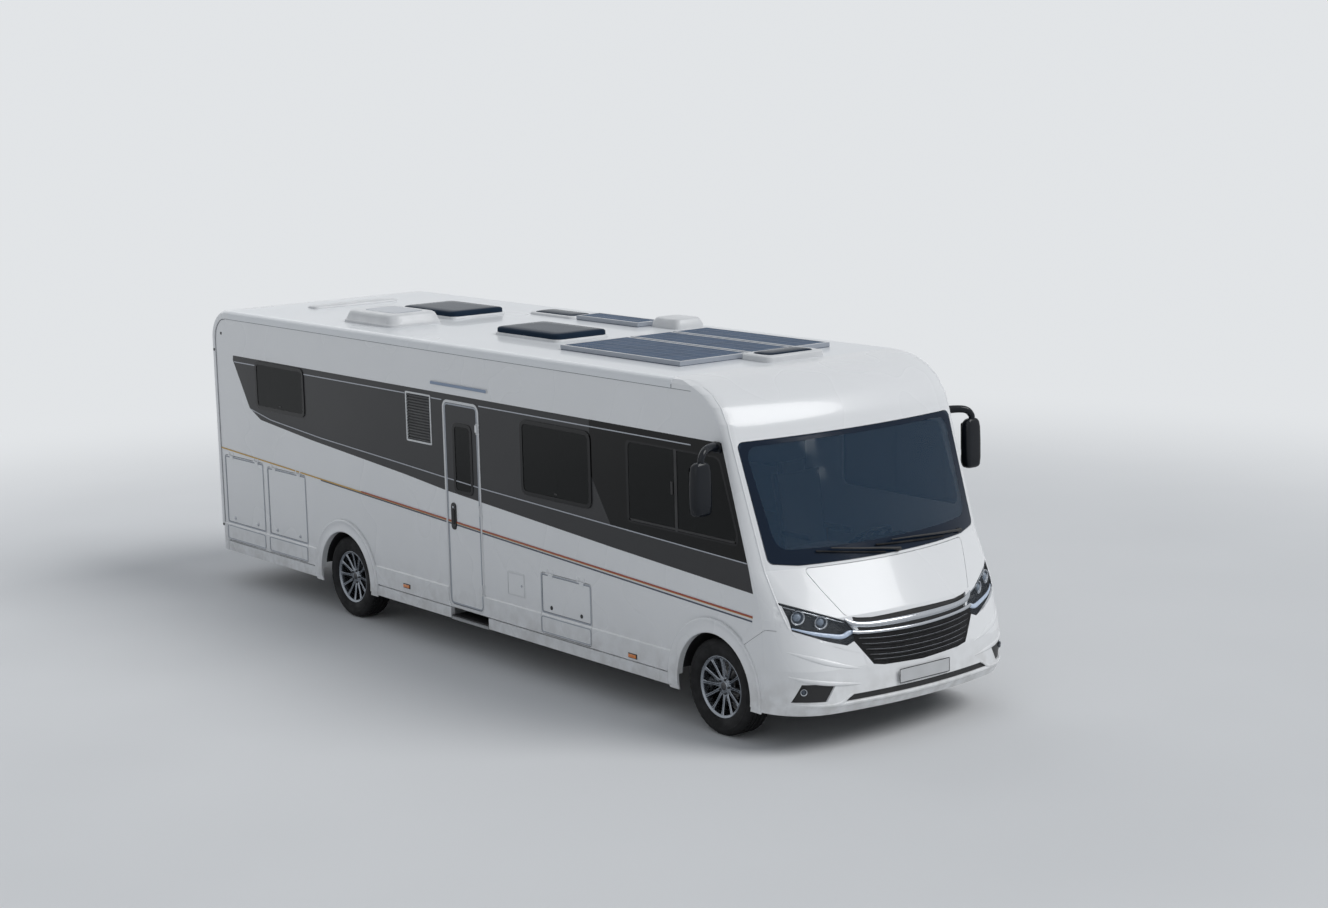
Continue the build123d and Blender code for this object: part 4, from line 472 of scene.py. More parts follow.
def plate(name, outline, holes, place, depth, material, bevel=0.0, body="body"):
    """A flat plate with holes, lying on its place."""
    mesh = filled(name, outline, holes, depth / 2, bevel)
    mesh.transform(Matrix.Translation((0, 0, depth / 2)))
    mesh.transform(place)
    if place.to_3x3().determinant() < 0:
        mesh.flip_normals()
    return place_object(name, mesh, material, body)


def side_plate(name, side, y, outline, holes, depth, material, bevel=0.0, body="body"):
    """A flat plate lying on a side at distance y."""
    return plate(name, outline, holes, side_place(side, y), depth, material, bevel, body)


def nose_sheets(name, outlines, material, lift, surface, cell=0.025):
    """Thin sheets that follow the nose, from outlines drawn as seen from the front."""
    built = bmesh.new()
    for outline in outlines:
        flat = filled(name, outline, [])
        built.from_mesh(flat)
        bpy.data.meshes.remove(flat)
    for axis, normal in enumerate((Vector((1, 0, 0)), Vector((0, 1, 0)))):
        values = [vertex.co[axis] for vertex in built.verts]
        cut = min(values) + cell
        while cut < max(values):
            everything = built.verts[:] + built.edges[:] + built.faces[:]
            bmesh.ops.bisect_plane(built, geom=everything, plane_co=normal * cut, plane_no=normal)
            cut += cell
    for vertex in built.verts:
        y, z = vertex.co.x, vertex.co.y
        vertex.co = surface(y, z) + nose_normal(y, z, surface) * lift
    bmesh.ops.recalc_face_normals(built, faces=built.faces)
    mesh = bpy.data.meshes.new(name)
    built.to_mesh(mesh)
    built.free()
    mesh.shade_smooth()
    return place_object(name, mesh, material, "body")


def strip(points, width):
    """The outline of a line of even width through points."""
    left, right = [], []
    for index, point in enumerate(points):
        here = Vector(point)
        before = Vector(points[max(index - 1, 0)])
        after = Vector(points[min(index + 1, len(points) - 1)])
        along = (after - before).normalized()
        across = Vector((-along.y, along.x)) * width / 2
        left.append(tuple(here + across))
        right.append(tuple(here - across))
    return left + right[::-1]


def between(points, x):
    """The height of a line through points at x."""
    for (x0, z0), (x1, z1) in zip(points, points[1:]):
        if x0 <= x <= x1:
            return z0 + (z1 - z0) * (x - x0) / (x1 - x0)
    return points[-1][1]


def clipped(points, start, end):
    """The part of a line between two x."""
    inner = [point for point in points if start < point[0] < end]
    return [(start, between(points, start)), *inner, (end, between(points, end))]


def smooth_line(points, steps=10):
    """A finer line through points, without corners."""
    vectors = [Vector(point) for point in points]
    padded_line = [vectors[0] * 2 - vectors[1], *vectors, vectors[-1] * 2 - vectors[-2]]
    fine = []
    for k in range(1, len(padded_line) - 2):
        p0, p1, p2, p3 = padded_line[k - 1:k + 3]
        for step in range(steps):
            t = step / steps
            fine.append(0.5 * (p1 * 2 + (p2 - p0) * t + (p0 * 2 - p1 * 5 + p2 * 4 - p3) * t**2
                               + (p1 * 3 - p0 - p2 * 3 + p3) * t**3))
    fine.append(vectors[-1])
    return fine


# The nose, found by looking at the frame from ahead
OUTER_NODES = ("front_cap", "bonnet", "front_bumper", "windscreen", "lamp_lenses")
GAP_SHIFTS = (0.0, 0.012, -0.012, 0.03, -0.03, 0.06, -0.06)
SURFACE_STEP = 0.012


def tree_of(names):
    """A search tree over the shapes of some nodes."""
    points, faces = [], []
    for name in names:
        mesh = NODES[name].data
        start = len(points)
        points.extend(vertex.co.copy() for vertex in mesh.vertices)
        faces.extend(tuple(start + index for index in polygon.vertices) for polygon in mesh.polygons)
    return BVHTree.FromPolygons(points, faces)


NOSE_TREE = tree_of((*OUTER_NODES, "grille", "lamp_housings"))
OUTER_TREE = tree_of(OUTER_NODES)
SCREEN_TREE = tree_of(("windscreen",))
CAP_TREE = tree_of(("front_cap",))


def seen(tree, y, z):
    """The place and the outward direction that a look from ahead meets at y and z."""
    return tree.ray_cast(Vector((NOSE_X + 1.0, y, z)), Vector((-1, 0, 0)))[:2]


def nose_point(y, z, tree=OUTER_TREE):
    """The nose's point at y and z, looked for above and below where narrow gaps are."""
    places = (seen(tree, y, z + shift)[0] for shift in GAP_SHIFTS)
    return Vector((next(place for place in places if place is not None).x, y, z))


def nose_normal(y, z, surface):
    """The outward direction of a surface of the nose, from two short steps over it."""
    sideways = surface(y + SURFACE_STEP, z) - surface(y - SURFACE_STEP, z)
    upwards = surface(y, z + SURFACE_STEP) - surface(y, z - SURFACE_STEP)
    normal = sideways.cross(upwards).normalized()
    return normal if normal.x > 0 else -normal


# Levels of the nose round the grille: z, back from the tip, half width of the bowed middle and its bow
NOSE_ARCS = ((0.380, 0.008, 0.800, 0.085), (0.640, 0.020, 0.800, 0.085), (1.000, 0.098, 0.900, 0.150))
ARC_REACH = 0.780
BONNET_CLEAR_Z = 1.030


def nose_arc(row, y):
    """The x of one level of the nose at y."""
    _, back, half, bow = row
    radius = (half**2 + bow**2) / (2 * bow)
    return NOSE_X - back - radius + sqrt(radius**2 - y**2)


def smooth_nose(y, z):
    """The nose's outer surface, carried across the grille's opening."""
    low, middle, high = NOSE_ARCS
    if high[0] < z < BONNET_CLEAR_Z and abs(y) < ARC_REACH:
        share = (z - high[0]) / (BONNET_CLEAR_Z - high[0])
        clear = nose_point(y, BONNET_CLEAR_Z)
        return Vector((nose_arc(high, y) * (1 - share) + clear.x * share, y, z))
    if abs(y) > ARC_REACH or not low[0] <= z <= high[0]:
        return nose_point(y, z)
    if z > middle[0]:
        low, middle = middle, high
    share = (z - low[0]) / (middle[0] - low[0])
    return Vector((nose_arc(low, y) * (1 - share) + nose_arc(middle, y) * share, y, z))


def on_nose(y, z):
    """A place on the nose as it is, grille and lamp housings included."""
    return nose_point(y, z, NOSE_TREE)


def moulding(line, heights, proud, surface, sink=0.004, steps=10, arc=8):
    """Points and faces of a half-round bar on a surface, along a line of y and z."""
    fine = smooth_line([(*point, height) for point, height in zip(line, heights)], steps)
    loops = []
    for index, (y, z, height) in enumerate(fine):
        before, after = fine[max(index - 1, 0)], fine[min(index + 1, len(fine) - 1)]
        here = surface(y, z)
        along = (surface(after[0], after[1]) - surface(before[0], before[1])).normalized()
        outward = nose_normal(y, z, surface)
        upward = outward.cross(along).normalized() * height / 2
        share = min(height / max(heights), 1.0)
        loop = [here + upward * cos(pi * k / arc) + outward * (sin(pi * k / arc) * proud * share)
                for k in range(arc + 1)]
        loops.append([*loop, here - upward - outward * sink, here + upward - outward * sink])
    return rings(loops)


# Levels of the crown, from the screen's head to the roof
CROWN_LEVELS = (2.292, 2.400, 2.520, 2.605, 2.660, 2.690)
CROWN_END_BACK = 0.165
CAP_REAR_X = 2.870
CROWN_HALF = 1.098
CROWN_FADE = 0.040
CROWN_COLUMNS = 120


def crown_skin():
    """A smooth skin over the forehead's levels, ending in the roof."""
    steps = 8
    rows = []
    for k in range(CROWN_COLUMNS + 1):
        y = CROWN_HALF * sin(pi / 2 * (2 * k / CROWN_COLUMNS - 1))
        levels = [seen(CAP_TREE, y, z)[0] for z in CROWN_LEVELS]
        x = max(levels[-1].x - CROWN_END_BACK, CAP_REAR_X + 0.004)
        levels.append(CAP_TREE.ray_cast(Vector((x, y, ROOF_Z + 1.0)), Vector((0, 0, -1)))[0])
        share = min(1.0, (CROWN_HALF - abs(y)) / CROWN_FADE)
        row = []
        for index, point in enumerate(smooth_line(levels, steps)):
            first = min(index // steps, len(levels) - 2)
            straight = levels[first].lerp(levels[first + 1], (index - first * steps) / steps)
            row.append(straight.lerp(point, share) + Vector((LIFT, 0, LIFT)))
        rows.append(row)
    points = [point for row in rows for point in row]
    count = len(rows[0])
    faces = [(k * count + j, (k + 1) * count + j, (k + 1) * count + j + 1, k * count + j + 1)
             for k in range(CROWN_COLUMNS) for j in range(count - 1)]
    mesh_piece("crown_skin", points, faces, WHITE, crease=60.0)


# Finishes of the frame's own nodes, by name or by its first word; all others are body white
NODE_FINISHES = (
    (ROOF_WHITE, "roof_panel"),
    (TRIM_WHITE, "door_trim roof_units fridge_vents skylights"),
    (SOLAR, "solar_panels"),
    (SCREEN_GLASS, "windscreen"),
    (WINDOW_TINT, "windows cab_windows door_pane"),
    (BLACK_PLASTIC, "door_handle grille lamp_housings wheel_housings mirrors wipers"),
    (CHROME, "grille_bars"),
    (CLEAR_LENS, "lamp_lenses"),
    (RED_LENS, "tail_lamps"),
    (PLATE, "number_plates"),
    (VINYL, "floor_panel"),
    (UNDERBODY, "storage_boxes"),
    (STEEL, "chassis_frame running_gear"),
    (IRON, "engine_block"),
    (DISC_STEEL, "knuckle"),
    (TANK, "tanks"),
    (DASH, "dashboard steering_wheel"),
    (CLOTH, "cab_seats"),
    (WOOD, "furniture"),
    (STEP_TREAD, "entry_step"),
    (TYRE, "tyre"),
    (ALLOY, "rim"),
)


def finish_nodes():
    """Gives each node of the frame its finish."""
    finishes = {name: material for material, names in NODE_FINISHES for name in names.split()}
    for name, node in NODES.items():
        node.data.materials.clear()
        node.data.materials.append(finishes.get(name) or finishes.get(name.split("_")[0], WHITE))


# Decals of the sides, drawn from the rear forwards and upwards
WINDOWS = {
    "right": ((0.850, 1.755, 1.800, 2.255, 0.070), (5.245, 6.200, 1.545, 2.165, 0.080)),
    "left": ((0.850, 1.755, 1.800, 2.255, 0.070), (3.480, 4.440, 1.650, 2.165, 0.080),
             (5.245, 6.200, 1.545, 2.165, 0.080)),
}
VENTS = {
    "right": ((3.510, 3.910, 1.790, 2.230, 0.016),),
    "left": ((2.650, 3.050, 1.790, 2.090, 0.016), (2.650, 3.050, 1.190, 1.490, 0.016)),
}
CAB_WINDOW = ((6.655, 1.510), (7.985, 1.510), (8.000, 1.585), (7.800, 2.160), (6.655, 2.160))
CAB_WINDOW_R = 0.055
CAB_DIVIDER = 7.270
CAB_CENTRE = (7.33, 1.84)
CAB_INNER_SHARE = 0.955
# Divider, rail and grip: distances from and to, z from and to, how proud
CAB_BARS = (
    (CAB_DIVIDER - 0.016, CAB_DIVIDER + 0.016, 1.520, 2.152, 0.004),
    (6.680, 7.970, 1.528, 1.545, 0.003),
    (CAB_DIVIDER - 0.060, CAB_DIVIDER - 0.035, 1.800, 1.900, 0.006),
)
DOOR = (4.120, 4.610, 0.436, 2.190, 0.045)
DOOR_PANE = (4.250, 4.515, 1.430, 2.020, 0.060)
DOOR_FRAME = (4.092, 4.638, 0.408, 2.218, 0.073)
BAND_TOP = ((0.420, 2.270), (7.820, 2.264), (8.104, 1.354), (8.152, 1.180))
BAND_FOOT = ((0.412, 2.225), (0.700, 1.783), (0.905, 1.688), (1.838, 1.601), (3.465, 1.480), (4.066, 1.425),
             (4.658, 1.387), (6.433, 1.276), (8.152, 1.180))
CAB_FIELD = ((6.190, 2.266), (6.190, 1.828), (6.440, 1.450), (8.092, 1.392), (7.818, 2.260))
UPPER_LINE_Z = 2.210
UPPER_LINE = {
    "right": ((0.440, 0.840), (1.765, 3.500), (3.920, 4.085), (4.645, 7.460)),
    "left": ((0.440, 0.840), (1.765, 7.460),),
}
LOWER_LINE = ((0.720, 1.775), (1.100, 1.709), (2.020, 1.640), (3.390, 1.572), (4.070, 1.536), (4.670, 1.508),
              (6.440, 1.450), (8.085, 1.398))
LINE_WIDTH = 0.009
GOLD = ((0.085, 1.326), (8.140, 1.000))
NAVY = ((1.990, 1.238), (8.140, 0.970))
RED_START = 2.700
RED_END = 8.140
STRIPE_WIDTH = 0.013
DOOR_EDGE = 0.001
# Name, line, start and end, finish, width, rise over the line and layer
STRIPES = (
    ("lower", LOWER_LINE, LOWER_LINE[0][0], LOWER_LINE[-1][0], SILVER_LINE, LINE_WIDTH, 0.0, 5),
    ("gold", GOLD, GOLD[0][0], GOLD[1][0], GOLD_LINE, STRIPE_WIDTH, 0.0, 5),
    ("red", GOLD, RED_START, RED_END, RED_LINE, STRIPE_WIDTH, 0.005, 6),
    ("navy", NAVY, NAVY[0][0], NAVY[1][0], NAVY_LINE, STRIPE_WIDTH * 0.9, 0.0, 5),
)


def shifted(points):
    """A side drawing moved from distances behind to the vehicle's own x."""
    return [(from_rear(distance), z) for distance, z in points]


def opening(row, grow=0.0):
    """The outline of a window or vent row, in the vehicle's own x."""
    start, end, low, high, radius = row
    return rectangle(from_rear(start), from_rear(end), low, high, radius, grow)


def round_head(x0, x1, top, radius, edge=0.0):
    """The door's head from front to rear, with its two round corners."""
    near = radius / 3
    return [(x1 - edge, top - radius), (x1 - near, top - near), (x1 - radius, top - edge), (x0 + radius, top - edge),
            (x0 + near, top - near), (x0 + edge, top - radius)]


def band(name, side):
    """The dark band with its openings, notched round the door on the right."""
    foot = list(reversed(BAND_FOOT))
    if side == RIGHT:
        x0, x1, _, top, radius = DOOR_FRAME
        notch = [(x1, between(BAND_FOOT, x1)), *round_head(x0, x1, top, radius), (x0, between(BAND_FOOT, x0))]
        foot = [point for point in foot if point[0] > x1] + notch + [point for point in foot if point[0] < x0]
    crossing = [row for row in (*WINDOWS[name], *VENTS[name]) if row[2] > 1.5]
    holes = [opening(row, LIFT) for row in crossing]
    cab = rounded(shifted(CAB_WINDOW), CAB_WINDOW_R)
    side_plate(f"band_{name}", side, WALL_Y + LIFT, shifted([*BAND_TOP[:-1], *foot]), [*holes, cab], LIFT, BAND_GREY)
    side_plate(f"cab_field_{name}", side, WALL_Y + 2 * LIFT, shifted(CAB_FIELD), [cab], LIFT, FIELD_BLACK)


def line_piece(name, points, side, material, layer, width=LINE_WIDTH, body="body"):
    """One thin line on a side."""
    side_plate(name, side, WALL_Y + layer * LIFT, strip(shifted(points), width), [], LIFT, material, 0.0, body)


def lines(name, side):
    """The silver, gold, red and navy lines, broken at the door on the right."""
    for index, (start, end) in enumerate(UPPER_LINE[name]):
        row = [(start, UPPER_LINE_Z), (end, UPPER_LINE_Z)]
        line_piece(f"upper_line_{name}_{index}", row, side, SILVER_LINE, 4)
    breaks = ((0.0, DOOR_FRAME[0]), (DOOR_FRAME[1], 9.0)) if side == RIGHT else ((0.0, 9.0),)
    for label, line, first, last, material, width, rise, layer in STRIPES:
        raised = [(distance, z + rise) for distance, z in line]
        for index, (start, end) in enumerate(breaks):
            start, end = max(start, first), min(end, last)
            if end > start:
                row = clipped(raised, start, end)
                line_piece(f"{label}_line_{name}_{index}", row, side, material, layer, width)
        if side == RIGHT:
            row = clipped(raised, DOOR[0] + DOOR_EDGE, DOOR[1] - DOOR_EDGE)
            line_piece(f"{label}_line_door", row, side, material, layer, width, "entry_door")


def door_band():
    """The band's part on the entry door, with the pane's opening."""
    x0, x1, _, top, radius = DOOR
    foot = clipped(BAND_FOOT, x0 + DOOR_EDGE, x1 - DOOR_EDGE)
    outline = shifted(foot + round_head(x0, x1, top, radius, DOOR_EDGE))
    side_plate("band_door", RIGHT, WALL_Y + LIFT, outline, [opening(DOOR_PANE, LIFT)], LIFT, BAND_GREY,
               body="entry_door")


WALL_EDGE = ((0.083, 0.410), (0.083, 2.400), (0.101, 2.488), (0.147, 2.555), (0.213, 2.601), (0.300, 2.617),
             (7.480, 2.617), (7.600, 2.548), (7.674, 2.492))


def wall_edges(name, side):
    """The joint between each side wall and its rounded edge trim, and the joint of the roof's rail."""
    side_plate(f"edge_joint_{name}", side, WALL_Y + LIFT, strip(shifted(WALL_EDGE), 0.005), [], LIFT, SEAM_AND_SHADOW_GREY)
    joint = from_rear(7.250)
    cover = mirrored_block(side, (joint - 0.003, EDGE_Y - 0.002, ROOF_Z - 0.078),
                           (joint + 0.003, EDGE_Y + LIFT, ROOF_Z - 0.05))
    merge(f"rail_joint_{name}", [cover], SEAM_AND_SHADOW_GREY)


# Windows, vents and door furniture
FRAME_WIDTH = 0.030
PANE_FACE = 0.005
VENT_EDGE = 0.017
BLADE_PITCH = 0.026
BLADE = ((-0.011, 0.006), (0.002, -0.006), (0.004, -0.003), (-0.009, 0.009))
# The door handle's parts: distance out, its row, thickness, finish and round edge
HANDLE = (
    ("dish", WALL_Y, (4.168, 4.248, 1.092, 1.318, 0.039), 0.004, GLOSS_BLACK, 0.0018),
    ("paddle", EDGE_Y, (4.195, 4.235, 1.140, 1.275, 0.019), 0.004, GLOSS_BLACK, 0.0015),
    ("lock", EDGE_Y, (4.205, 4.225, 1.282, 1.302, 0.0099), 0.003, SATIN_CHROME, 0.001),
)


def window_frames(name, side):
    """Rounded black frames over the panes, each with its stay."""
    face = WALL_Y + PANE_FACE
    for index, row in enumerate(WINDOWS[name]):
        side_plate(f"window_frame_{name}_{index}", side, face, opening(row, 0.004), [opening(row, -FRAME_WIDTH)],
                   0.0045, GLOSS_BLACK, 0.0012)
        x, z = from_rear((row[0] + row[1]) / 2), row[2] + 0.05
        stay = mirrored_block(side, (x - 0.02, face, z), (x + 0.02, face + 0.003, z + 0.012))
        merge(f"window_stay_{name}_{index}", [stay], BLACK_PLASTIC, bevel=0.001)


def cab_window_frames(name, side):
    """The cab window's black frame, its divider and rail, and the sliding pane's grip."""
    outer = rounded(shifted(CAB_WINDOW), CAB_WINDOW_R)
    distance, z = CAB_CENTRE
    middle = Vector((from_rear(distance), z))
    inner = [tuple(middle + (Vector(point) - middle) * CAB_INNER_SHARE) for point in outer]
    side_plate(f"cab_frame_{name}", side, WALL_Y, outer, [inner], 0.003, GLOSS_BLACK, 0.0008)
    bars = [mirrored_block(side, (from_rear(start), WALL_Y, low), (from_rear(end), WALL_Y + proud, high))
            for start, end, low, high, proud in CAB_BARS]
    merge(f"cab_divider_{name}", bars, BLACK_PLASTIC, bevel=0.0012)


def vent_pieces():
    """Refrigerator vents: a light frame round dark louvres that lean outwards at their feet."""
    parts = []
    for name, side in SIDES:
        for index, row in enumerate(VENTS[name]):
            side_plate(f"vent_frame_{name}_{index}", side, WALL_Y - 0.010, opening(row), [opening(row, -0.016)], 0.015,
                       TRIM_WHITE, 0.002)
            x0, x1 = from_rear(row[0]) + VENT_EDGE, from_rear(row[1]) - VENT_EDGE
            low, high = row[2] + VENT_EDGE, row[3] - VENT_EDGE
            parts.append(mirrored_block(side, (x0, WALL_Y - 0.014, low), (x1, WALL_Y - 0.012, high)))
            blades = round((high - low) / BLADE_PITCH)
            for k in range(blades):
                z = low + (k + 0.5) * (high - low) / blades
                parts.append(rings([[(x, side * (WALL_Y + out), z + rise) for out, rise in BLADE] for x in (x0, x1)]))
    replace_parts(merge("vent_louvres", parts, VENT_GREY, crease=25.0), "fridge_vents")


def door_furniture():
    """Seal, border, pane frame and handle of the entry door."""
    side_plate("door_seal", RIGHT, WALL_Y - 0.006, opening(DOOR, 0.0045), [opening(DOOR)], 0.003, SEAM_AND_SHADOW_GREY)
    side_plate("door_border", RIGHT, WALL_Y, opening(DOOR, -0.001), [opening(DOOR, -0.013)], 0.003, EDGE_GREY, 0.0012,
               "entry_door")
    side_plate("door_pane_frame", RIGHT, WALL_Y + 0.002, opening(DOOR_PANE, 0.012), [opening(DOOR_PANE, -0.020)], 0.004,
               GLOSS_BLACK, 0.0012, "entry_door")
    for part, y, row, depth, material, bevel in HANDLE:
        side_plate(f"handle_{part}", RIGHT, y, opening(row), [], depth, material, bevel, "entry_door")


# Body, side, start and end, top
LOCKERS = (
    ("locker_rear_right", RIGHT, 0.143, 0.900, 1.260),
    ("locker_axle_right", RIGHT, 0.980, 1.700, 1.240),
    ("locker_mid_right", RIGHT, 5.467, 6.153, 0.920),
    ("garage_door_left", LEFT, 0.180, 1.300, 1.260),
    ("locker_mid_left", LEFT, 4.900, 5.600, 0.920),
)
CREASE_TOP = 0.584
CREASE_FOOT = 0.560
LOCKER_FOOT = 0.418
# The borders' inset from the locker's edge, their corners and widths; SHADOW_W is where the painted shadow inside the
# upper border ends
BORDER_INSET = 0.004
BORDER_RADIUS = 0.026
BORDER_W = 0.011
SHADOW_W = 0.015
FOOT_BORDER_W = 0.008
LOCK_Z = 0.640
# How far the locks sit from the middle, as a share of the locker's length
LOCK_SHARE = 0.3
# Radius and how proud: a locker's lock, a flap's lock and the rear corner's lamps
LOCKER_LOCK = (0.017, 0.005)
FLAP_LOCK = (0.011, 0.004)
CORNER_LAMP = (0.014, 0.006)


def locker_borders():
    """Each locker's raised borders above and below the crease, with painted shadow inside the upper one, and its two
    locks.
    """
    for body, side, start, end, top in LOCKERS:
        near, far = start + BORDER_INSET, end - BORDER_INSET
        row = (near, far, CREASE_TOP, top - BORDER_INSET, BORDER_RADIUS)
        low = (near, far, LOCKER_FOOT + BORDER_INSET, CREASE_FOOT, BORDER_RADIUS)
        inner = opening(row, -BORDER_W)
        side_plate(f"{body}_border", side, WALL_Y, opening(row), [inner], 0.0035, EDGE_GREY, 0.0016, body)
        # Painted shadow: a thin dark sheet just inside the upper border, where the raised border's shade falls
        side_plate(f"{body}_shadow", side, WALL_Y, inner, [opening(row, -SHADOW_W)], LIFT, SEAM_AND_SHADOW_GREY, 0.0, body)
        side_plate(f"{body}_foot_border", side, EDGE_Y, opening(low), [opening(low, -FOOT_BORDER_W)], 0.003, EDGE_GREY,
                   0.0014, body)
        lock_x, reach = from_rear((start + end) / 2), (end - start) * LOCK_SHARE
        parts = [button(side, lock_x + way * reach, WALL_Y, LOCK_Z, *LOCKER_LOCK) for way in (-1, 1)]
        merge(f"{body}_locks", parts, SATIN_CHROME if body != "locker_mid_right" else BLACK_PLASTIC, body=body)


def button(side, x, y, z, radius, proud, steps=24):
    """A low round button on a side."""
    loops = []
    for share, out in ((1.0, 0.0), (1.0, 0.6), (0.8, 1.0), (0.3, 1.0)):
        loops.append([(x + radius * share * cos(tau * k / steps), side * (y + proud * out),
                       z + radius * share * sin(tau * k / steps)) for k in range(steps)])
    return rings(loops)


LIGHT_BAR = (3.930, 4.780, 2.330, 2.362)
# Part, half width, half height, how far out it starts and ends, finish and round edge
MARKER_PARTS = (("base", 0.056, 0.020, 0.0, 0.004, BLACK_PLASTIC, 0.0015),
                ("lens", 0.048, 0.014, 0.003, 0.011, AMBER_LENS, 0.004))
MARKERS = ((3.420, 0.467), (6.690, 0.442))
CORNER_MARKERS = ((0.200, 2.470), (0.062, 2.300), (0.062, 0.550))
FLAPS = {
    "right": ((4.980, 5.235, 0.650, 0.860, 0.020),),
    "left": ((3.300, 3.520, 0.660, 0.880, 0.020), (3.640, 3.860, 0.660, 0.880, 0.020)),
}


def side_out(distance):
    """The side's face at a distance from the rear: the edge trim stands proud of the wall."""
    return EDGE_Y - 0.001 if distance < 0.083 else WALL_Y - 0.001


def side_fittings(name, side):
    """Side markers, flap rims with their locks, the light bar's lens and the rear corner's small lamps."""
    for index, (distance, z) in enumerate(MARKERS):
        x = from_rear(distance)
        for part, wide, high, near, far, material, bevel in MARKER_PARTS:
            form = mirrored_block(side, (x - wide, EDGE_Y + near, z - high), (x + wide, EDGE_Y + far, z + high))
            merge(f"marker_{part}_{name}_{index}", [form], material, bevel=bevel)
    for index, row in enumerate(FLAPS[name]):
        side_plate(f"flap_rim_{name}_{index}", side, WALL_Y + 0.002, opening(row, -0.006), [opening(row, -0.018)],
                   0.003, TRIM_WHITE, 0.001)
        lock = button(side, from_rear(row[1]) - 0.045, WALL_Y + 0.002, (row[2] + row[3]) / 2, *FLAP_LOCK)
        merge(f"flap_lock_{name}_{index}", [lock], SATIN_CHROME)
    if side == RIGHT:
        start, end, low, high = LIGHT_BAR
        glass = mirrored_block(side, (from_rear(start) + 0.004, EDGE_Y - 0.004, low + 0.003),
                               (from_rear(end) - 0.004, EDGE_Y + 0.007, high - 0.003))
        merge("light_bar_lens", [glass], BAR_BLUE, bevel=0.006)
    for index, (distance, z) in enumerate(CORNER_MARKERS):
        lamp = button(side, from_rear(distance), side_out(distance), z, *CORNER_LAMP)
        merge(f"rear_top_marker_{name}_{index}", [lamp], BLACK_PLASTIC)


# The flare's section: radius about the axle and how far out
FLARE_PROFILE = ((0.5460, -0.006), (0.5455, 0.008), (0.5420, 0.013), (0.5360, 0.0155), (0.5290, 0.015),
                 (0.5200, 0.010), (0.5000, 0.005), (0.4650, 0.006), (0.4480, 0.012), (0.4370, 0.014),
                 (0.4300, 0.009), (0.4290, -0.008))
FLARE_STEPS = 72
FLARE_START = -6.5
FLARE_SWEEP = 193.0


def side_face(side, x, z, tree):
    """How far out the body stands at one place of a side."""
    place = tree.ray_cast(Vector((x, side * 3.0, z)), Vector((0, -side, 0)))[0]
    return abs(place.y) if place else WALL_Y


def arch_flares(name, side):
    """The raised flare with a rolled lip round each wheel arch."""
    tree = tree_of((f"side_wall_{name}", "lower_trim", "front_cap", "front_bumper"))
    for label, axle in (("front", FRONT_AXLE), ("rear", REAR_AXLE)):
        angles = [radians(FLARE_START + FLARE_SWEEP * k / FLARE_STEPS) for k in range(FLARE_STEPS + 1)]
        faces = [side_face(side, axle + 0.50 * cos(a), TYRE_R + 0.50 * sin(a), tree) for a in angles]
        loops = []
        for k, angle in enumerate(angles):
            near = faces[max(0, k - 3):k + 4]
            out = sum(near) / len(near)
            loops.append([(axle + r * cos(angle), side * (out + rise), TYRE_R + r * sin(angle))
                          for r, rise in FLARE_PROFILE])
        merge(f"arch_flare_{label}_{name}", [rings(loops)], WHITE, crease=50.0)


# Front: lamps, grille, bumper creases, plate rim, screen border and wipers, as y and z seen from ahead
LAMP = ((0.640, 0.968), (1.080, 1.135), (1.098, 0.960), (0.590, 0.745), (0.556, 0.862))
LAMP_R = 0.014
LAMP_DEPTH = 0.085
PROJECTORS = ((0.968, 1.022, 0.050), (0.812, 0.974, 0.046))
LED_LOWER = ((1.034, 0.950), (0.900, 0.906), (0.780, 0.877), (0.690, 0.861), (0.622, 0.880), (0.566, 0.884))
LED_HEIGHTS = (0.010, 0.026, 0.032, 0.036, 0.036, 0.012)
BROW = ((1.060, 1.105), (0.900, 1.047), (0.760, 0.996), (0.650, 0.955))
BROW_HEIGHTS = (0.006, 0.010, 0.010, 0.006)


def recessed(y, z, depth):
    """A place behind the lamp's cover."""
    return nose_point(y, z) - Vector((depth, 0, 0))


def on_side(side, line):
    """A line drawn for y outwards, on one side."""
    return [(side * y, z) for y, z in line]


def lamp_bucket(side):
    """The lamp's dark housing: walls from the cover to a floor set back."""
    outline = on_side(side, rounded(LAMP, LAMP_R, 3))
    dense = []
    for index, (y, z) in enumerate(outline):
        y1, z1 = outline[(index + 1) % len(outline)]
        cuts = max(int(Vector((y1 - y, z1 - z)).length / 0.04), 1)
        dense.extend((y + (y1 - y) * k / cuts, z + (z1 - z) * k / cuts) for k in range(cuts))
    inset_middle = Vector((side * 0.80, 0.945))
    drawn_in = [Vector(point) + (inset_middle - Vector(point)) * 0.03 for point in dense]
    front, back = ([recessed(*point, depth) for point in drawn_in] for depth in (0.012, LAMP_DEPTH))
    middle = sum(back, Vector()) / len(back) + Vector((0.045, 0, 0))
    inner = [middle + (point - middle) * 0.5 for point in back]
    points, faces = rings([front, back, inner], capped=False)
    count = len(front)
    faces += [(2 * count + k, 2 * count + (k + 1) % count, 3 * count) for k in range(count)]
    return [*points, middle], faces


def aimed(centre, outwards):
    """A place whose y axis looks ahead, turned outwards by some degrees."""
    return Matrix.Translation(centre) @ Matrix.Rotation(radians(-90 + outwards), 4, "Z")


def projector(side, y, z, radius):
    """One round lamp facing forwards: its ring and its lens."""
    ring = turned([(radius, 0.0), (radius + 0.007, 0.006), (radius + 0.004, 0.026), (radius - 0.004, 0.022),
                   (radius * 0.72, -0.002), (radius * 0.70, -0.008)], 40)
    bulb = turned([(0.0005, 0.030), (radius * 0.35, 0.026), (radius * 0.58, 0.014), (radius * 0.66, 0.0),
                   (radius * 0.66, -0.012), (0.0005, -0.012)], 40)
    return moved((ring, bulb), aimed(recessed(side * y, z, 0.052), side * 22))


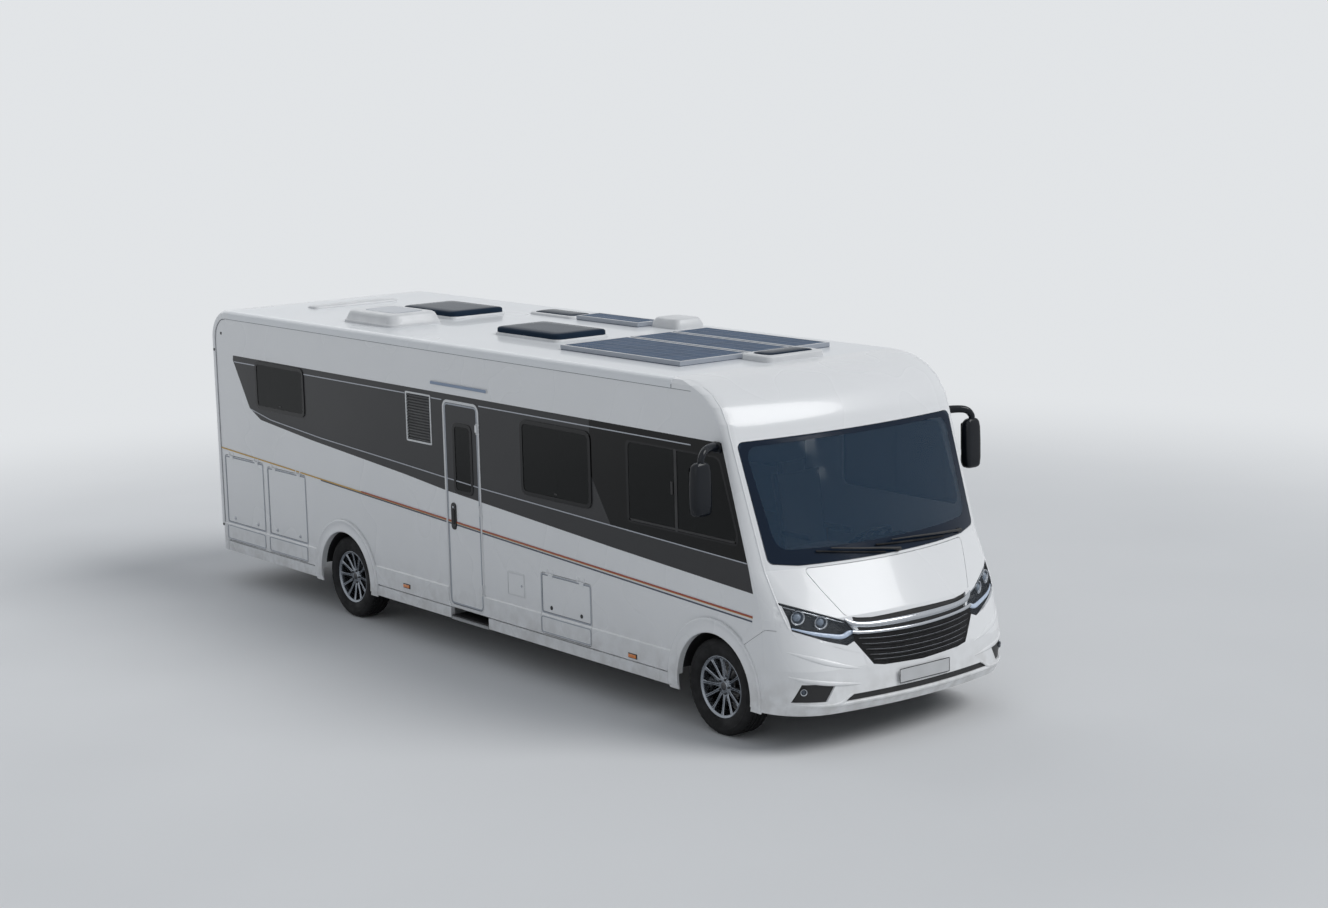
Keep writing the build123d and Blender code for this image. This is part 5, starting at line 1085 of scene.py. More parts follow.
def headlamps():
    """Both headlamps behind their clear covers."""
    buckets, lights, strips, brows = [], [], [], []
    for _, side in SIDES:
        buckets.append(lamp_bucket(side))
        lights.extend(projector(side, *row) for row in PROJECTORS)
        strips.append(moulding(on_side(side, LED_LOWER), LED_HEIGHTS, 0.010, lambda y, z: recessed(y, z, 0.014)))
        brows.append(moulding(on_side(side, BROW), BROW_HEIGHTS, 0.004, lambda y, z: recessed(y, z, 0.020)))
    bowls, bulbs = zip(*lights)
    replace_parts(merge("headlamp_buckets", buckets, GLOSS_BLACK, crease=30.0), "lamp_housings")
    merge("headlamp_rings", bowls, SATIN_CHROME)
    merge("headlamp_bulbs", bulbs, BULB_GLASS)
    merge("headlamp_strips", strips, LED_STRIP)
    merge("headlamp_brows", brows, SATIN_CHROME)


UPPER_BAR = ((0.0, 0.914), (0.250, 0.916), (0.430, 0.921), (0.540, 0.933), (0.600, 0.950), (0.652, 0.985))
UPPER_BAR_HEIGHTS = (0.056, 0.054, 0.048, 0.046, 0.042, 0.012)
LOWER_BAR = ((0.0, 0.853), (0.250, 0.858), (0.440, 0.867), (0.560, 0.878), (0.612, 0.888))
LOWER_BAR_HEIGHTS = (0.030, 0.029, 0.029, 0.031, 0.030)
SLAT_HEIGHTS = (0.022, 0.022, 0.021, 0.018, 0.008)
# Height at the middle, then y and height of the end
SLAT_ROWS = ((0.800, 0.570, 0.832), (0.757, 0.548, 0.790), (0.714, 0.524, 0.748), (0.676, 0.498, 0.706),
             (0.644, 0.472, 0.668))


def across(line, heights):
    """A line from the middle outwards and its heights, made into one from side to side."""
    half = [(y, z, height) for (y, z), height in zip(line, heights)]
    whole = [(-y, z, height) for y, z, height in reversed(half) if y > 0] + half
    return [(y, z) for y, z, _ in whole], [height for _, _, height in whole]


STRIP_TOP = ((0.0, 0.977), (0.220, 0.974), (0.430, 0.971), (0.550, 0.984), (0.626, 1.0045))
GRILLE_SIDE = ((0.600, 0.868), (0.607, 0.818), (0.476, 0.638), (0.382, 0.620), (0.0, 0.602))
CORNER_COVER = ((0.370, 0.6180), (0.382, 0.6195), (0.476, 0.6375), (0.530, 0.711), (0.545, 0.711), (0.530, 0.600),
                (0.370, 0.600))
BONNET_EDGE_Z = 1.024
LAMP_COVER = ((1.062, 1.112), (1.050, 1.030), (1.040, 0.918), (0.985, 0.893), (0.671, 0.797), (0.618, 0.817),
              (0.6085, 0.819), (0.560, 0.752), (0.570, 0.730), (0.700, 0.772), (0.980, 0.890), (1.108, 0.925),
              (1.132, 0.960), (1.100, 1.128))


def mirrored_outlines(outline):
    """An outline of the nose on both of its sides."""
    return [on_side(side, outline) for _, side in SIDES]


# Half the bonnet lip's width at its upper edge
LIP_HALF = 0.646
# How proud the two chrome bars, the slats and the slats' edges are
BAR_PROUD = (0.022, 0.016)
SLAT_PROUD = 0.010
SLAT_EDGE_PROUD = 0.013
# The slats curve up outwards by this power of the share of their half width
SLAT_BEND = 2.4


def grille_pieces():
    """Chrome bars and thin slats over a black mesh, inside an edge that follows the photograph's."""
    mesh_outline = on_side(RIGHT, GRILLE_SIDE) + list(reversed(GRILLE_SIDE[:-1]))
    first, last = (-LIP_HALF, BONNET_EDGE_Z), (LIP_HALF, BONNET_EDGE_Z)
    crown = [first, *on_side(RIGHT, reversed(STRIP_TOP)), *STRIP_TOP[1:], last]
    nose_sheets("grille_mesh", [mesh_outline], GRILLE_MESH, LIFT, smooth_nose)
    nose_sheets("bonnet_lip", [crown], WHITE, LIFT, smooth_nose)
    nose_sheets("grille_corners", mirrored_outlines(CORNER_COVER), WHITE, 2 * LIFT, smooth_nose)
    nose_sheets("lamp_covers", mirrored_outlines(LAMP_COVER), WHITE, LIFT, smooth_nose)
    rows = ((UPPER_BAR, UPPER_BAR_HEIGHTS), (LOWER_BAR, LOWER_BAR_HEIGHTS))
    bars = [moulding(*across(*row), proud, smooth_nose) for row, proud in zip(rows, BAR_PROUD)]
    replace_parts(merge("chrome_bars", bars, CHROME, crease=60.0), "grille_bars")
    slats, edges = [], []
    for middle_z, end_y, end_z in SLAT_ROWS:
        line = [(end_y * share, middle_z + (end_z - middle_z) * share**SLAT_BEND) for share in (0, 0.3, 0.55, 0.8, 1.0)]
        spread, heights = across(line, SLAT_HEIGHTS)
        slats.append(moulding(spread, heights, SLAT_PROUD, smooth_nose))
        upper = [(y, z + 0.006) for y, z in spread]
        edges.append(moulding(upper, [h * 0.30 for h in heights], SLAT_EDGE_PROUD, smooth_nose))
    merge("grille_slats", slats, GLOSS_BLACK, crease=60.0)
    merge("grille_slat_edges", edges, SATIN_CHROME, crease=60.0)


# The pillar's line and the bumper's three creases: the line, its heights, how proud
CREASES = (
    (((1.102, 2.650), (1.114, 2.520), (1.121, 2.400), (1.122, 2.268), (1.109, 1.850), (1.095, 1.420), (1.088, 1.240),
      (1.080, 1.130), (1.062, 0.980), (1.020, 0.880)),
     (0.006, 0.012, 0.013, 0.013, 0.013, 0.013, 0.013, 0.013, 0.012, 0.004), 0.004),
    (((1.085, 0.782), (0.980, 0.742), (0.858, 0.698), (0.720, 0.655), (0.588, 0.620)),
     (0.006, 0.030, 0.044, 0.030, 0.006), 0.008),
    (((1.090, 0.600), (1.000, 0.572), (0.860, 0.545), (0.720, 0.524), (0.593, 0.508)),
     (0.010, 0.030, 0.034, 0.026, 0.006), 0.009),
    (((1.060, 0.392), (0.900, 0.380), (0.780, 0.385), (0.700, 0.430), (0.655, 0.452)),
     (0.008, 0.022, 0.026, 0.020, 0.006), 0.006),
)
LIP_LINE = ((0.0, 0.372), (0.300, 0.372), (0.600, 0.374), (0.800, 0.372), (0.980, 0.372))
LIP_HEIGHTS = (0.034, 0.034, 0.032, 0.026, 0.010)
FOG_PLACE = (1.018, 0.490)
FOG_RING = ((0.019, 0.0), (0.026, 0.004), (0.026, 0.014), (0.020, 0.012))
FOG_LENS = ((0.0005, 0.008), (0.013, 0.007), (0.020, 0.002), (0.020, -0.006), (0.0005, -0.006))


def bumper_forms():
    """The pillars' lines, the bumper's creases, its lower lip and the fog lamps."""
    parts = [moulding(on_side(side, line), heights, proud, smooth_nose, sink=0.003)
             for line, heights, proud in CREASES for _, side in SIDES]
    parts.append(moulding(*across(LIP_LINE, LIP_HEIGHTS), 0.008, on_nose))
    merge("bumper_creases", parts, WHITE, crease=50.0)
    places = [aimed(on_nose(side * FOG_PLACE[0], FOG_PLACE[1]) + Vector((0.010, 0, 0)), side * 30) for _, side in SIDES]
    for name, profile, material in (("fog_rings", FOG_RING, SATIN_CHROME), ("fog_glasses", FOG_LENS, FOG_GLASS)):
        merge(name, [moved([turned(profile, 36)], place)[0] for place in places], material)


PLATE_ROW = (-0.260, 0.260, 0.457, 0.567, 0.008)


def plate_pieces():
    """A thin rim on the blank front plate."""
    plate("front_plate_rim", rectangle(*PLATE_ROW), [rectangle(*PLATE_ROW, -0.006)], end_place(1, NOSE_X - 0.0005),
          0.0005, SEAM_AND_SHADOW_GREY)


SCREEN = ((-1.056, 1.400), (-0.840, 1.372), (0.840, 1.372), (1.056, 1.400), (1.088, 2.268), (-1.088, 2.268))
SCREEN_OPEN = ((-0.974, 1.488), (-0.600, 1.478), (0.600, 1.478), (0.974, 1.488), (1.034, 2.232), (-1.034, 2.232))


def resample(outline, count):
    """Even points round a closed outline."""
    loop = [Vector(point) for point in outline]
    lengths = [(loop[(k + 1) % len(loop)] - loop[k]).length for k in range(len(loop))]
    total = sum(lengths)
    even, k, gone = [], 0, 0.0
    for step in range(count):
        target = total * step / count
        while gone + lengths[k] < target:
            gone += lengths[k]
            k += 1
        share = (target - gone) / lengths[k] if lengths[k] else 0.0
        even.append(loop[k].lerp(loop[(k + 1) % len(loop)], share))
    return even


def on_screen(y, z, lift):
    """A place over the windscreen, or the nearest one to it."""
    place, normal = seen(SCREEN_TREE, y, z)
    if place is None:
        place, normal = SCREEN_TREE.find_nearest(nose_point(y, z))[:2]
    return place + (normal if normal.x >= 0 else -normal) * lift


def screen_border():
    """The black border printed round the windscreen."""
    count, bands = 240, 7
    outer = resample([(y * 0.998, z) for y, z in rounded(SCREEN, 0.045)], count)
    inner = resample(rounded(SCREEN_OPEN, 0.110), count)
    start = min(range(count), key=lambda k: (inner[k] - outer[0]).length)
    inner = inner[start:] + inner[:start]
    loops = [[on_screen(*far.lerp(near, k / bands), LIFT) for far, near in zip(outer, inner)] for k in range(bands + 1)]
    merge("screen_border", [rings(loops, capped=False)], SCREEN_BLACK, crease=60.0)


WIPER_LINES = (
    ((0.030, 1.383), (-0.100, 1.402), (-0.310, 1.428), (-0.570, 1.462)),
    ((0.800, 1.396), (0.569, 1.414), (0.224, 1.440), (-0.020, 1.452)),
)


# Heights over the glass, radii, how far the rubber lies below the arm and runs on past its end
WIPER_LIFT = 0.030
WIPER_RADIUS = 0.011
WIPER_TAPER = 0.006
RUBBER_LIFT = 0.012
RUBBER_RADIUS = 0.007
RUBBER_DROP = 0.022
RUBBER_STEPS = 20
RUBBER_PAST = 0.25


def wipers():
    """Two parked wipers: pivot, tapering arm and a rubber blade."""
    arms, blades = [], []
    for line in WIPER_LINES:
        arm = [on_screen(y, z, WIPER_LIFT) for y, z in smooth_line(line, 8)]
        arms.append(rod(arm, [WIPER_RADIUS - WIPER_TAPER * k / len(arm) for k in range(len(arm))]))
        tail, head = Vector(line[1]), Vector(line[-1])
        tip = head + (head - tail) * RUBBER_PAST
        run = [tail.lerp(tip, k / RUBBER_STEPS) - Vector((0, RUBBER_DROP)) for k in range(RUBBER_STEPS + 1)]
        blades.append(rod([on_screen(y, z, RUBBER_LIFT) for y, z in run], RUBBER_RADIUS, 6))
        pivot = on_screen(*line[0], 0.0)
        arms.append(rod([pivot, pivot + Vector((0.034, 0, 0.012))], [0.020, 0.014], 20))
    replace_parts(merge("wiper_arms", arms, BLACK_PLASTIC, crease=50.0), "wipers")
    merge("wiper_blades", blades, TYRE, crease=50.0)


def rod(line, radii, sides=12):
    """Points and faces of a round bar along a line."""
    points = [Vector(point) for point in line]
    if isinstance(radii, float):
        radii = [radii] * len(points)
    loops = []
    side_way = None
    for index, (here, radius) in enumerate(zip(points, radii)):
        along = (points[min(index + 1, len(points) - 1)] - points[max(index - 1, 0)]).normalized()
        if side_way is None:
            side_way = along.cross(Vector((0, 0, 1)) if abs(along.z) < 0.9 else Vector((0, 1, 0)))
        side_way = (side_way - along * side_way.dot(along)).normalized()
        up_way = along.cross(side_way)
        loops.append([here + (side_way * cos(tau * k / sides) + up_way * sin(tau * k / sides)) * radius
                      for k in range(sides)])
    return rings(loops)


# Mirrors
MIRROR_X = 3.500
MIRROR_Y = 1.400
MIRROR_TOP = 2.160
MIRROR_TALL = 0.400
# Outline seen from above: depth and width
MIRROR_SECTION = ((-0.048, -0.092), (0.040, -0.078), (0.040, 0.078), (-0.048, 0.092))
# The two glasses, heights over the housing's foot, then half their width
MIRROR_PANES = ((0.135, 0.365), (0.030, 0.115))
PANE_HALF = 0.076
# The arm's thick end and how much thinner it gets
ARM_RADIUS = 0.034
ARM_TAPER = 0.010
# Share of the height, then of the width and depth
MIRROR_LEVELS = ((0.0, 0.55, 0.45), (0.02, 0.80, 0.72), (0.06, 0.93, 0.90), (0.20, 1.0, 1.0), (0.55, 1.0, 1.0),
                 (0.82, 0.96, 0.94), (0.93, 0.86, 0.80), (0.98, 0.66, 0.60), (1.0, 0.42, 0.40))
MIRROR_FOOT = (3.390, 2.228)


def mirror_pieces():
    """Drop mirrors: a shaped housing, a bowed arm, a foot and two glasses."""
    housings, arms, glasses = [], [], []
    foot_x, foot_z = MIRROR_FOOT
    low_z = MIRROR_TOP - MIRROR_TALL
    section = rounded(MIRROR_SECTION, 0.035, 5)
    for _, side in SIDES:
        y = side * MIRROR_Y
        housings.append(rings([[(MIRROR_X + u * deep, y + v * wide, low_z + MIRROR_TALL * share) for u, v in section]
                               for share, wide, deep in MIRROR_LEVELS]))
        line = ((foot_x, side * 1.156, foot_z - 0.004), (foot_x + 0.03, side * 1.235, foot_z + 0.012),
                (MIRROR_X - 0.02, side * 1.345, foot_z + 0.006), (MIRROR_X, side * 1.396, foot_z - 0.040),
                (MIRROR_X, y, MIRROR_TOP - 0.020))
        fine = smooth_line(line, 8)
        arms.append(rod(fine, [ARM_RADIUS - ARM_TAPER * k / len(fine) for k in range(len(fine))], 18))
        arms.append(foot_plate(side, foot_x, foot_z))
        for low, high in MIRROR_PANES:
            half, z0, z1 = PANE_HALF, low_z + low, low_z + high
            outline = rounded(((-half, z0), (half, z0), (half, z1), (-half, z1)), 0.020, 4)
            glasses.append(rings([[(MIRROR_X - back, y + v * share, w) for v, w in outline]
                                  for back, share in ((0.0475, 1.0), (0.0495, 0.98))]))
    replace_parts(merge("mirror_housings", housings, MIRROR_BLACK, crease=40.0), "mirrors")
    merge("mirror_arms", arms, MIRROR_BLACK, crease=40.0)
    merge("mirror_glasses", glasses, MIRROR_GLASS)


def foot_plate(side, x, z):
    """The mirror arm's rounded foot on the wall."""
    outline = rounded(((-0.05, -0.042), (0.05, -0.042), (0.05, 0.042), (-0.05, 0.042)), 0.03, 5)
    return rings([[(x + u * share, side * (WALL_Y + LIFT + out), z + v * share) for u, v in outline]
                  for share, out in ((1.0, 0.0), (1.0, 0.010), (0.80, 0.018), (0.45, 0.026))])


# Wheels
TYRE_STEPS = 180
RIM_STEPS = 96
SPOKES = 12
BOLTS = 5
BOLT_RADIUS = 0.056


# The tyre's wall from the bead outwards: radius and half width
TYRE_WALL = ((0.2290, 0.0905), (0.2420, 0.0930), (0.2480, 0.1010), (0.2620, 0.1100), (0.2860, 0.1160),
             (0.3000, 0.1172), (0.3180, 0.1160), (0.3195, 0.1172), (0.3255, 0.1168), (0.3270, 0.1152), (0.3480, 0.1090))
# Radius of the shoulder and half width under it, on a block and in the gap between two
SHOULDER_BLOCK = (0.3735, 0.1000)
SHOULDER_GAP = (0.3665, 0.0980)
UNDER_SHOULDER = 0.3620
GROOVE_DEPTH = 0.009


def tyre_section(index):
    """The tyre's outline at one step round it, with its grooves and shoulder blocks."""
    shoulder, under = SHOULDER_GAP if index % 4 == 0 else SHOULDER_BLOCK
    crown = TYRE_R
    groove = crown - GROOVE_DEPTH
    half = [*TYRE_WALL, (UNDER_SHOULDER, under), (shoulder - 0.0015, 0.0880), (shoulder, 0.0800),
            (shoulder + 0.0003, 0.0640), (groove, 0.0620), (groove, 0.0550), (crown, 0.0530),
            (crown, 0.0270), (groove, 0.0250), (groove, 0.0180), (crown, 0.0160)]
    return half + [(r, -w) for r, w in reversed(half)]


def tyre():
    """Points and faces of one tyre about the y axis."""
    turns = [tau * k / TYRE_STEPS for k in range(TYRE_STEPS)]
    loops = [[(r * cos(a), w, r * sin(a)) for r, w in tyre_section(k)] for k, a in enumerate(turns)]
    return rings([*loops, loops[0]], capped=False)


HUB_SECTION = ((0.0305, 0.022), (0.078, 0.022), (0.080, 0.040), (0.074, 0.056), (0.060, 0.062), (0.040, 0.062),
               (0.036, 0.066), (0.0305, 0.066))
CAP_SECTION = ((0.0005, 0.072), (0.016, 0.0715), (0.028, 0.069), (0.034, 0.064), (0.034, 0.054), (0.0005, 0.054))
BOLT_SECTION = ((0.0095, 0.060), (0.0095, 0.070), (0.0075, 0.073), (0.0030, 0.073))
RIM_SECTION = ((0.2400, -0.0950), (0.2400, -0.0905), (0.2285, -0.0860), (0.2240, -0.0780), (0.2240, 0.0780),
               (0.2285, 0.0860), (0.2400, 0.0905), (0.2400, 0.0950), (0.2370, 0.0962), (0.2330, 0.0950),
               (0.2260, 0.0880), (0.2190, 0.0860), (0.2160, 0.0780), (0.2150, -0.0780), (0.2200, -0.0880),
               (0.2290, -0.0950))


# Radius, half width, and how far out the spoke's front and back are
SPOKE_ROWS = ((0.050, 0.0150, 0.058, 0.034), (0.090, 0.0120, 0.066, 0.040), (0.140, 0.0105, 0.072, 0.048),
              (0.185, 0.0110, 0.080, 0.056), (0.212, 0.0150, 0.087, 0.062), (0.222, 0.0190, 0.088, 0.064))


def spoke(angle):
    """One slim spoke from the hub to the rim, bowed outwards and grooved along its middle."""
    loops = []
    for radius, half, outer, inner in SPOKE_ROWS:
        groove = min(0.007, half * 0.7)
        right = ((half * 0.32, outer), (half * 0.72, outer), (half, outer - 0.004), (half, inner))
        section = [(-u, w) for u, w in reversed(right)] + [(0.0, outer - groove), *right]
        loops.append([(radius * cos(angle) - u * sin(angle), w, radius * sin(angle) + u * cos(angle))
                      for u, w in section])
    return rings(loops)


def rim_parts():
    """Parts of one alloy wheel about the y axis, its face towards +y."""
    return [turned(RIM_SECTION, RIM_STEPS), turned(HUB_SECTION, 64), *(spoke(tau * k / SPOKES) for k in range(SPOKES))]


def cap_parts():
    """The hub's cap and its bolts."""
    parts = [turned(CAP_SECTION, 48)]
    corners = [tau * j / 6 for j in range(6)]
    for k in range(BOLTS):
        angle = tau * (k + 0.5) / BOLTS
        x, z = BOLT_RADIUS * cos(angle), BOLT_RADIUS * sin(angle)
        parts.append(rings([[(x + r * cos(a), w, z + r * sin(a)) for a in corners] for r, w in BOLT_SECTION]))
    return parts


def wheels():
    """Tyre, rim and cap of each wheel over its hidden nodes."""
    for label, axle in (("front", FRONT_AXLE), ("rear", REAR_AXLE)):
        for name, side in SIDES:
            body = f"wheel_{label}_{name}"
            turn = Matrix.Rotation(0.0 if side == LEFT else pi, 4, "Z")
            place = Matrix.Translation((axle, side * WHEEL_Y, TYRE_R)) @ turn
            for piece, parts, material, node, crease in (
                ("tread", [tyre()], TYRE, "tyre", 30.0), ("alloy", rim_parts(), ALLOY, "rim", 35.0),
                ("cap", cap_parts(), DARK_ALLOY, None, 35.0),
            ):
                made = merge(f"{body}_{piece}", moved(parts, place), material, crease, body=body)
                if node:
                    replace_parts(made, f"{node}_{label}_{name}")


# Roof
# The three skylights and the flat hatch: x and y from and to, base height, height, how far the glass is let in
SKYLIGHTS = ((-2.530, -1.630, -0.120, 0.480, 0.024, 0.070, 0.0), (-0.430, 0.520, -0.500, 0.060, 0.024, 0.070, 0.0),
             (2.480, 2.830, -0.150, 0.450, 0.050, 0.060, 0.045), (-1.480, -0.800, 0.620, 0.920, 0.022, 0.030, 0.020))
SOLAR_ROWS = (("right", 0.890, 2.450, -0.730, -0.040), ("middle", 0.890, 2.450, 0.000, 0.420),
              ("left", 0.890, 2.450, 0.460, 0.830), ("rear", -0.740, 0.160, 0.640, 0.900))
SOLAR_H = 0.038
SOLAR_BORDER = 0.016
# x and y from and to, levels of height and inset, corner radius: the cooler, the rear cover, the dome and its flange
ROOF_UNITS = (
    (-2.380, -1.500, -0.870, -0.290,
     ((0.0, 0.0), (0.020, 0.002), (0.026, 0.012), (0.078, 0.030), (0.098, 0.040), (0.108, 0.056), (0.112, 0.085),
      (0.1125, 0.16)), 0.12),
    (-3.630, -3.450, -0.500, 0.450,
     ((0.0, 0.0), (0.012, 0.002), (0.022, 0.012), (0.026, 0.030), (0.0265, 0.06)), 0.05),
    (0.210, 0.590, 0.740, 1.060,
     ((0.0, 0.0), (0.030, 0.002), (0.076, 0.022), (0.085, 0.032), (0.088, 0.060)), 0.055),
    (0.215, 0.585, 0.745, 1.055, ((0.0, 0.0), (0.006, 0.0), (0.008, 0.004)), 0.07),
)
COOLER_INSET = (-2.180, -1.640, -0.740, -0.420, ((0.106, 0.0), (0.1145, 0.0), (0.1165, 0.006), (0.1166, 0.03)), 0.07)


def tapered_box(x0, x1, y0, y1, levels, radius):
    """A rounded box through levels of (height, inset)."""
    loops = []
    for height, inset in levels:
        outline = rounded(((x0 + inset, y0 + inset), (x1 - inset, y0 + inset), (x1 - inset, y1 - inset),
                           (x0 + inset, y1 - inset)), radius, 6)
        loops.append([(x, y, ROOF_Z + height) for x, y in outline])
    return rings(loops)


def roof_pieces():
    """Skylights with their bases, solar frames and rims, the cooler, the rear cover and the dome."""
    bases, tops = [], []
    for x0, x1, y0, y1, rim, tall, inset in SKYLIGHTS:
        base = ((0.0, 0.0), (rim - 0.012, 0.002), (rim - 0.003, 0.008), (rim, 0.014), (rim, 0.040 + inset))
        glass = ((rim - 0.004, 0.010 + inset), (tall - 0.014, 0.011 + inset), (tall - 0.004, 0.020 + inset),
                 (tall, 0.038 + inset), (tall + 0.0005, 0.12 + inset))
        bases.append(tapered_box(x0, x1, y0, y1, base, 0.06))
        tops.append(tapered_box(x0, x1, y0, y1, glass, 0.07))
    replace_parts(merge("skylight_bases", bases, TRIM_WHITE, crease=30.0), "skylights")
    merge("skylight_domes", tops, SKY_GLASS, crease=40.0)
    for name, x0, x1, y0, y1 in SOLAR_ROWS:
        plate(f"solar_frame_{name}", rectangle(x0, x1, y0, y1), [rectangle(x0, x1, y0, y1, 0.0, -SOLAR_BORDER)],
              Matrix.Translation((0, 0, ROOF_Z + SOLAR_H - 0.001)), 0.003, TRIM_WHITE, 0.0008)
        out, over = 0.004, 0.001
        bars = ((x0 - out, x1 + out, y0 - out, y0 + over), (x0 - out, x1 + out, y1 - over, y1 + out),
                (x0 - out, x0 + over, y0, y1), (x1 - over, x1 + out, y0, y1))
        rim = [block((a, c, ROOF_Z + 0.004), (b, d, ROOF_Z + SOLAR_H)) for a, b, c, d in bars]
        merge(f"solar_rim_{name}", rim, EDGE_GREY, bevel=0.001)
    units = merge("roof_housings", [tapered_box(*row) for row in ROOF_UNITS], TRIM_WHITE, crease=40.0)
    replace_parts(units, "roof_units")
    merge("cooler_inset", [tapered_box(*COOLER_INSET)], EDGE_GREY, crease=40.0)


# Rear
REAR_WINDOW = (-0.560, 0.560, 1.560, 2.080, 0.080)
REAR_FRAME_W = 0.034
TAIL_Y = (0.820, 1.060)
# Name, depth from and to behind the wall, inset from both ends of TAIL_Y, z from and to, finish, bevel
TAIL_PARTS = (
    ("housings", 0.020, 0.0285, 0.001, 0.001, 0.351, 0.499, BLACK_PLASTIC, 0.002),
    ("reds", 0.004, 0.024, 0.004, 0.004, 0.432, 0.496, RED_LENS, 0.006),
    ("ambers", 0.004, 0.024, 0.126, 0.004, 0.354, 0.426, AMBER_LENS, 0.006),
    ("whites", 0.004, 0.024, 0.004, 0.130, 0.354, 0.426, CLEAR_REVERSE, 0.006),
)
HIGH_LAMP_HALF = 0.22
HIGH_LAMP_Z = (2.300, 2.326)
HIGH_LAMP_RADIUS = 0.012


def rear_pieces():
    """Rear window frame, tail lamps and the high brake lamp."""
    plate("rear_window_frame", rectangle(*REAR_WINDOW), [rectangle(*REAR_WINDOW, -REAR_FRAME_W)],
          end_place(-1, REAR_X + 0.004), 0.004, GLOSS_BLACK, 0.0012)
    inner, outer = TAIL_Y
    for name, near, far, inset, outset, z0, z1, material, bevel in TAIL_PARTS:
        low, high = (REAR_X + near, inner + inset, z0), (REAR_X + far, outer - outset, z1)
        forms = [mirrored_block(side, low, high) for _, side in SIDES]
        made = merge(f"tail_{name}", forms, material, bevel=bevel)
        if name == "housings":
            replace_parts(made, "tail_lamps")
    half, (foot, top) = HIGH_LAMP_HALF, HIGH_LAMP_Z
    outline = rounded(((-half, foot), (half, foot), (half, top), (-half, top)), HIGH_LAMP_RADIUS, 5)
    high_lamp = rings([[(REAR_X + out, u, v) for u, v in outline] for out in (0.012, 0.0005)])
    merge("high_brake_lamp", [high_lamp], RED_LENS, bevel=0.002)


# Cab, seen through the windscreen
DASH_X = 3.420
SEAT_X = DASH_X - 0.640
SEAT_Y = 0.440
FLOOR_Z = 0.700
# Part, place along and up, size and lean in degrees
SEAT_ROWS = (("cushion", 0.03, 0.395, (0.50, 0.48, 0.13), -4), ("back", -0.285, 0.725, (0.62, 0.46, 0.11), -99),
             ("head", -0.375, 1.03, (0.15, 0.26, 0.09), -96))
# Foot, pan and the two armrests: x from and to, middle and half width, z from and to
SEAT_BLOCKS = ((-0.16, 0.16, 0.0, 0.20, 0.0, 0.22), (-0.22, 0.25, 0.0, 0.235, 0.22, 0.335),
               (-0.24, 0.10, -0.225, 0.022, 0.54, 0.585), (-0.24, 0.10, 0.225, 0.022, 0.54, 0.585))
WHEEL_PLACE = (DASH_X - 0.090, 0.440, 1.290)
WHEEL_TILT = 55.0


def cushion(centre, size, lean, crown=0.16, steps=14):
    """A crowned form whose sides pull in between its corners, with two sewn channels."""
    def warped(u, v, w):
        pull = 1.0 - 0.05 * (1.0 - u * u) * (v * v) - 0.05 * (1.0 - v * v) * (u * u)
        soft = 1.0 - 0.30 * max(abs(u) ** 8, abs(v) ** 8)
        rise = crown * (1.0 - u * u) * (1.0 - v * v)
        channel = 0.10 * sum(max(0.0, 1.0 - abs(v - line) * 14.0) for line in (-0.42, 0.42))
        height = w * soft / 2 + (rise - channel if w > 0 else 0.0)
        place = Vector((u * pull * size[0] / 2, v * pull * size[1] / 2, height * size[2]))
        return Matrix.Rotation(lean, 4, "Y") @ place + Vector(centre)

    row, sheet = steps + 1, (steps + 1) ** 2
    grid = [-1.0 + 2.0 * k / steps for k in range(row)]
    points = [warped(u, v, w) for w in (-1.0, 1.0) for u in grid for v in grid]
    faces = []
    for i in range(steps):
        for j in range(steps):
            a = i * row + j
            quad = (a, a + 1, a + row + 1, a + row)
            faces += [quad, tuple(sheet + k for k in reversed(quad))]
    edge = [i * row for i in range(steps)] + [steps * row + j for j in range(steps)]
    edge += [i * row + steps for i in range(steps, 0, -1)] + list(range(steps, 0, -1))
    faces += [(here, here + sheet, after + sheet, after) for here, after in zip(edge, edge[1:] + edge[:1])]
    return points, faces


def seats():
    """Two cab seats: plinth, cushion, back, headrest and armrests."""
    shells = []
    for name, side in SIDES:
        y = side * SEAT_Y
        for part, x, z, size, lean in SEAT_ROWS:
            form = cushion((SEAT_X + x, y, FLOOR_Z + z), size, radians(lean))
            made = merge(f"seat_{part}_{name}", [form], CLOTH, crease=180.0)
            smooth = made.modifiers.new("smooth", "SUBSURF")
            smooth.levels = 1
            smooth.render_levels = 1
        for x0, x1, middle, half, z0, z1 in SEAT_BLOCKS:
            shells.append(block((SEAT_X + x0, y + middle - half, FLOOR_Z + z0),
                                (SEAT_X + x1, y + middle + half, FLOOR_Z + z1)))
    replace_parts(merge("seat_plinths", shells, CLOTH_DARK, bevel=0.016), "cab_seats")


# Instrument hood and screen: low corner, high corner, x from the dashboard's rear face
DASH_BLOCKS = (((0.02, 0.24, 1.299), (0.20, 0.66, 1.345)), ((-0.004, -0.16, 1.130), (0.01, 0.12, 1.262)))
GRIP_RADIUS = 0.176
GRIP_THICK = 0.0155
GRIP_STEPS = 48
# The wheel's boss and column: distances along its axis, radii
BOSS = ((-0.03, 0.020, 0.028), (0.062, 0.058, 0.040))
COLUMN = ((-0.03, -0.155), (0.030, 0.034))


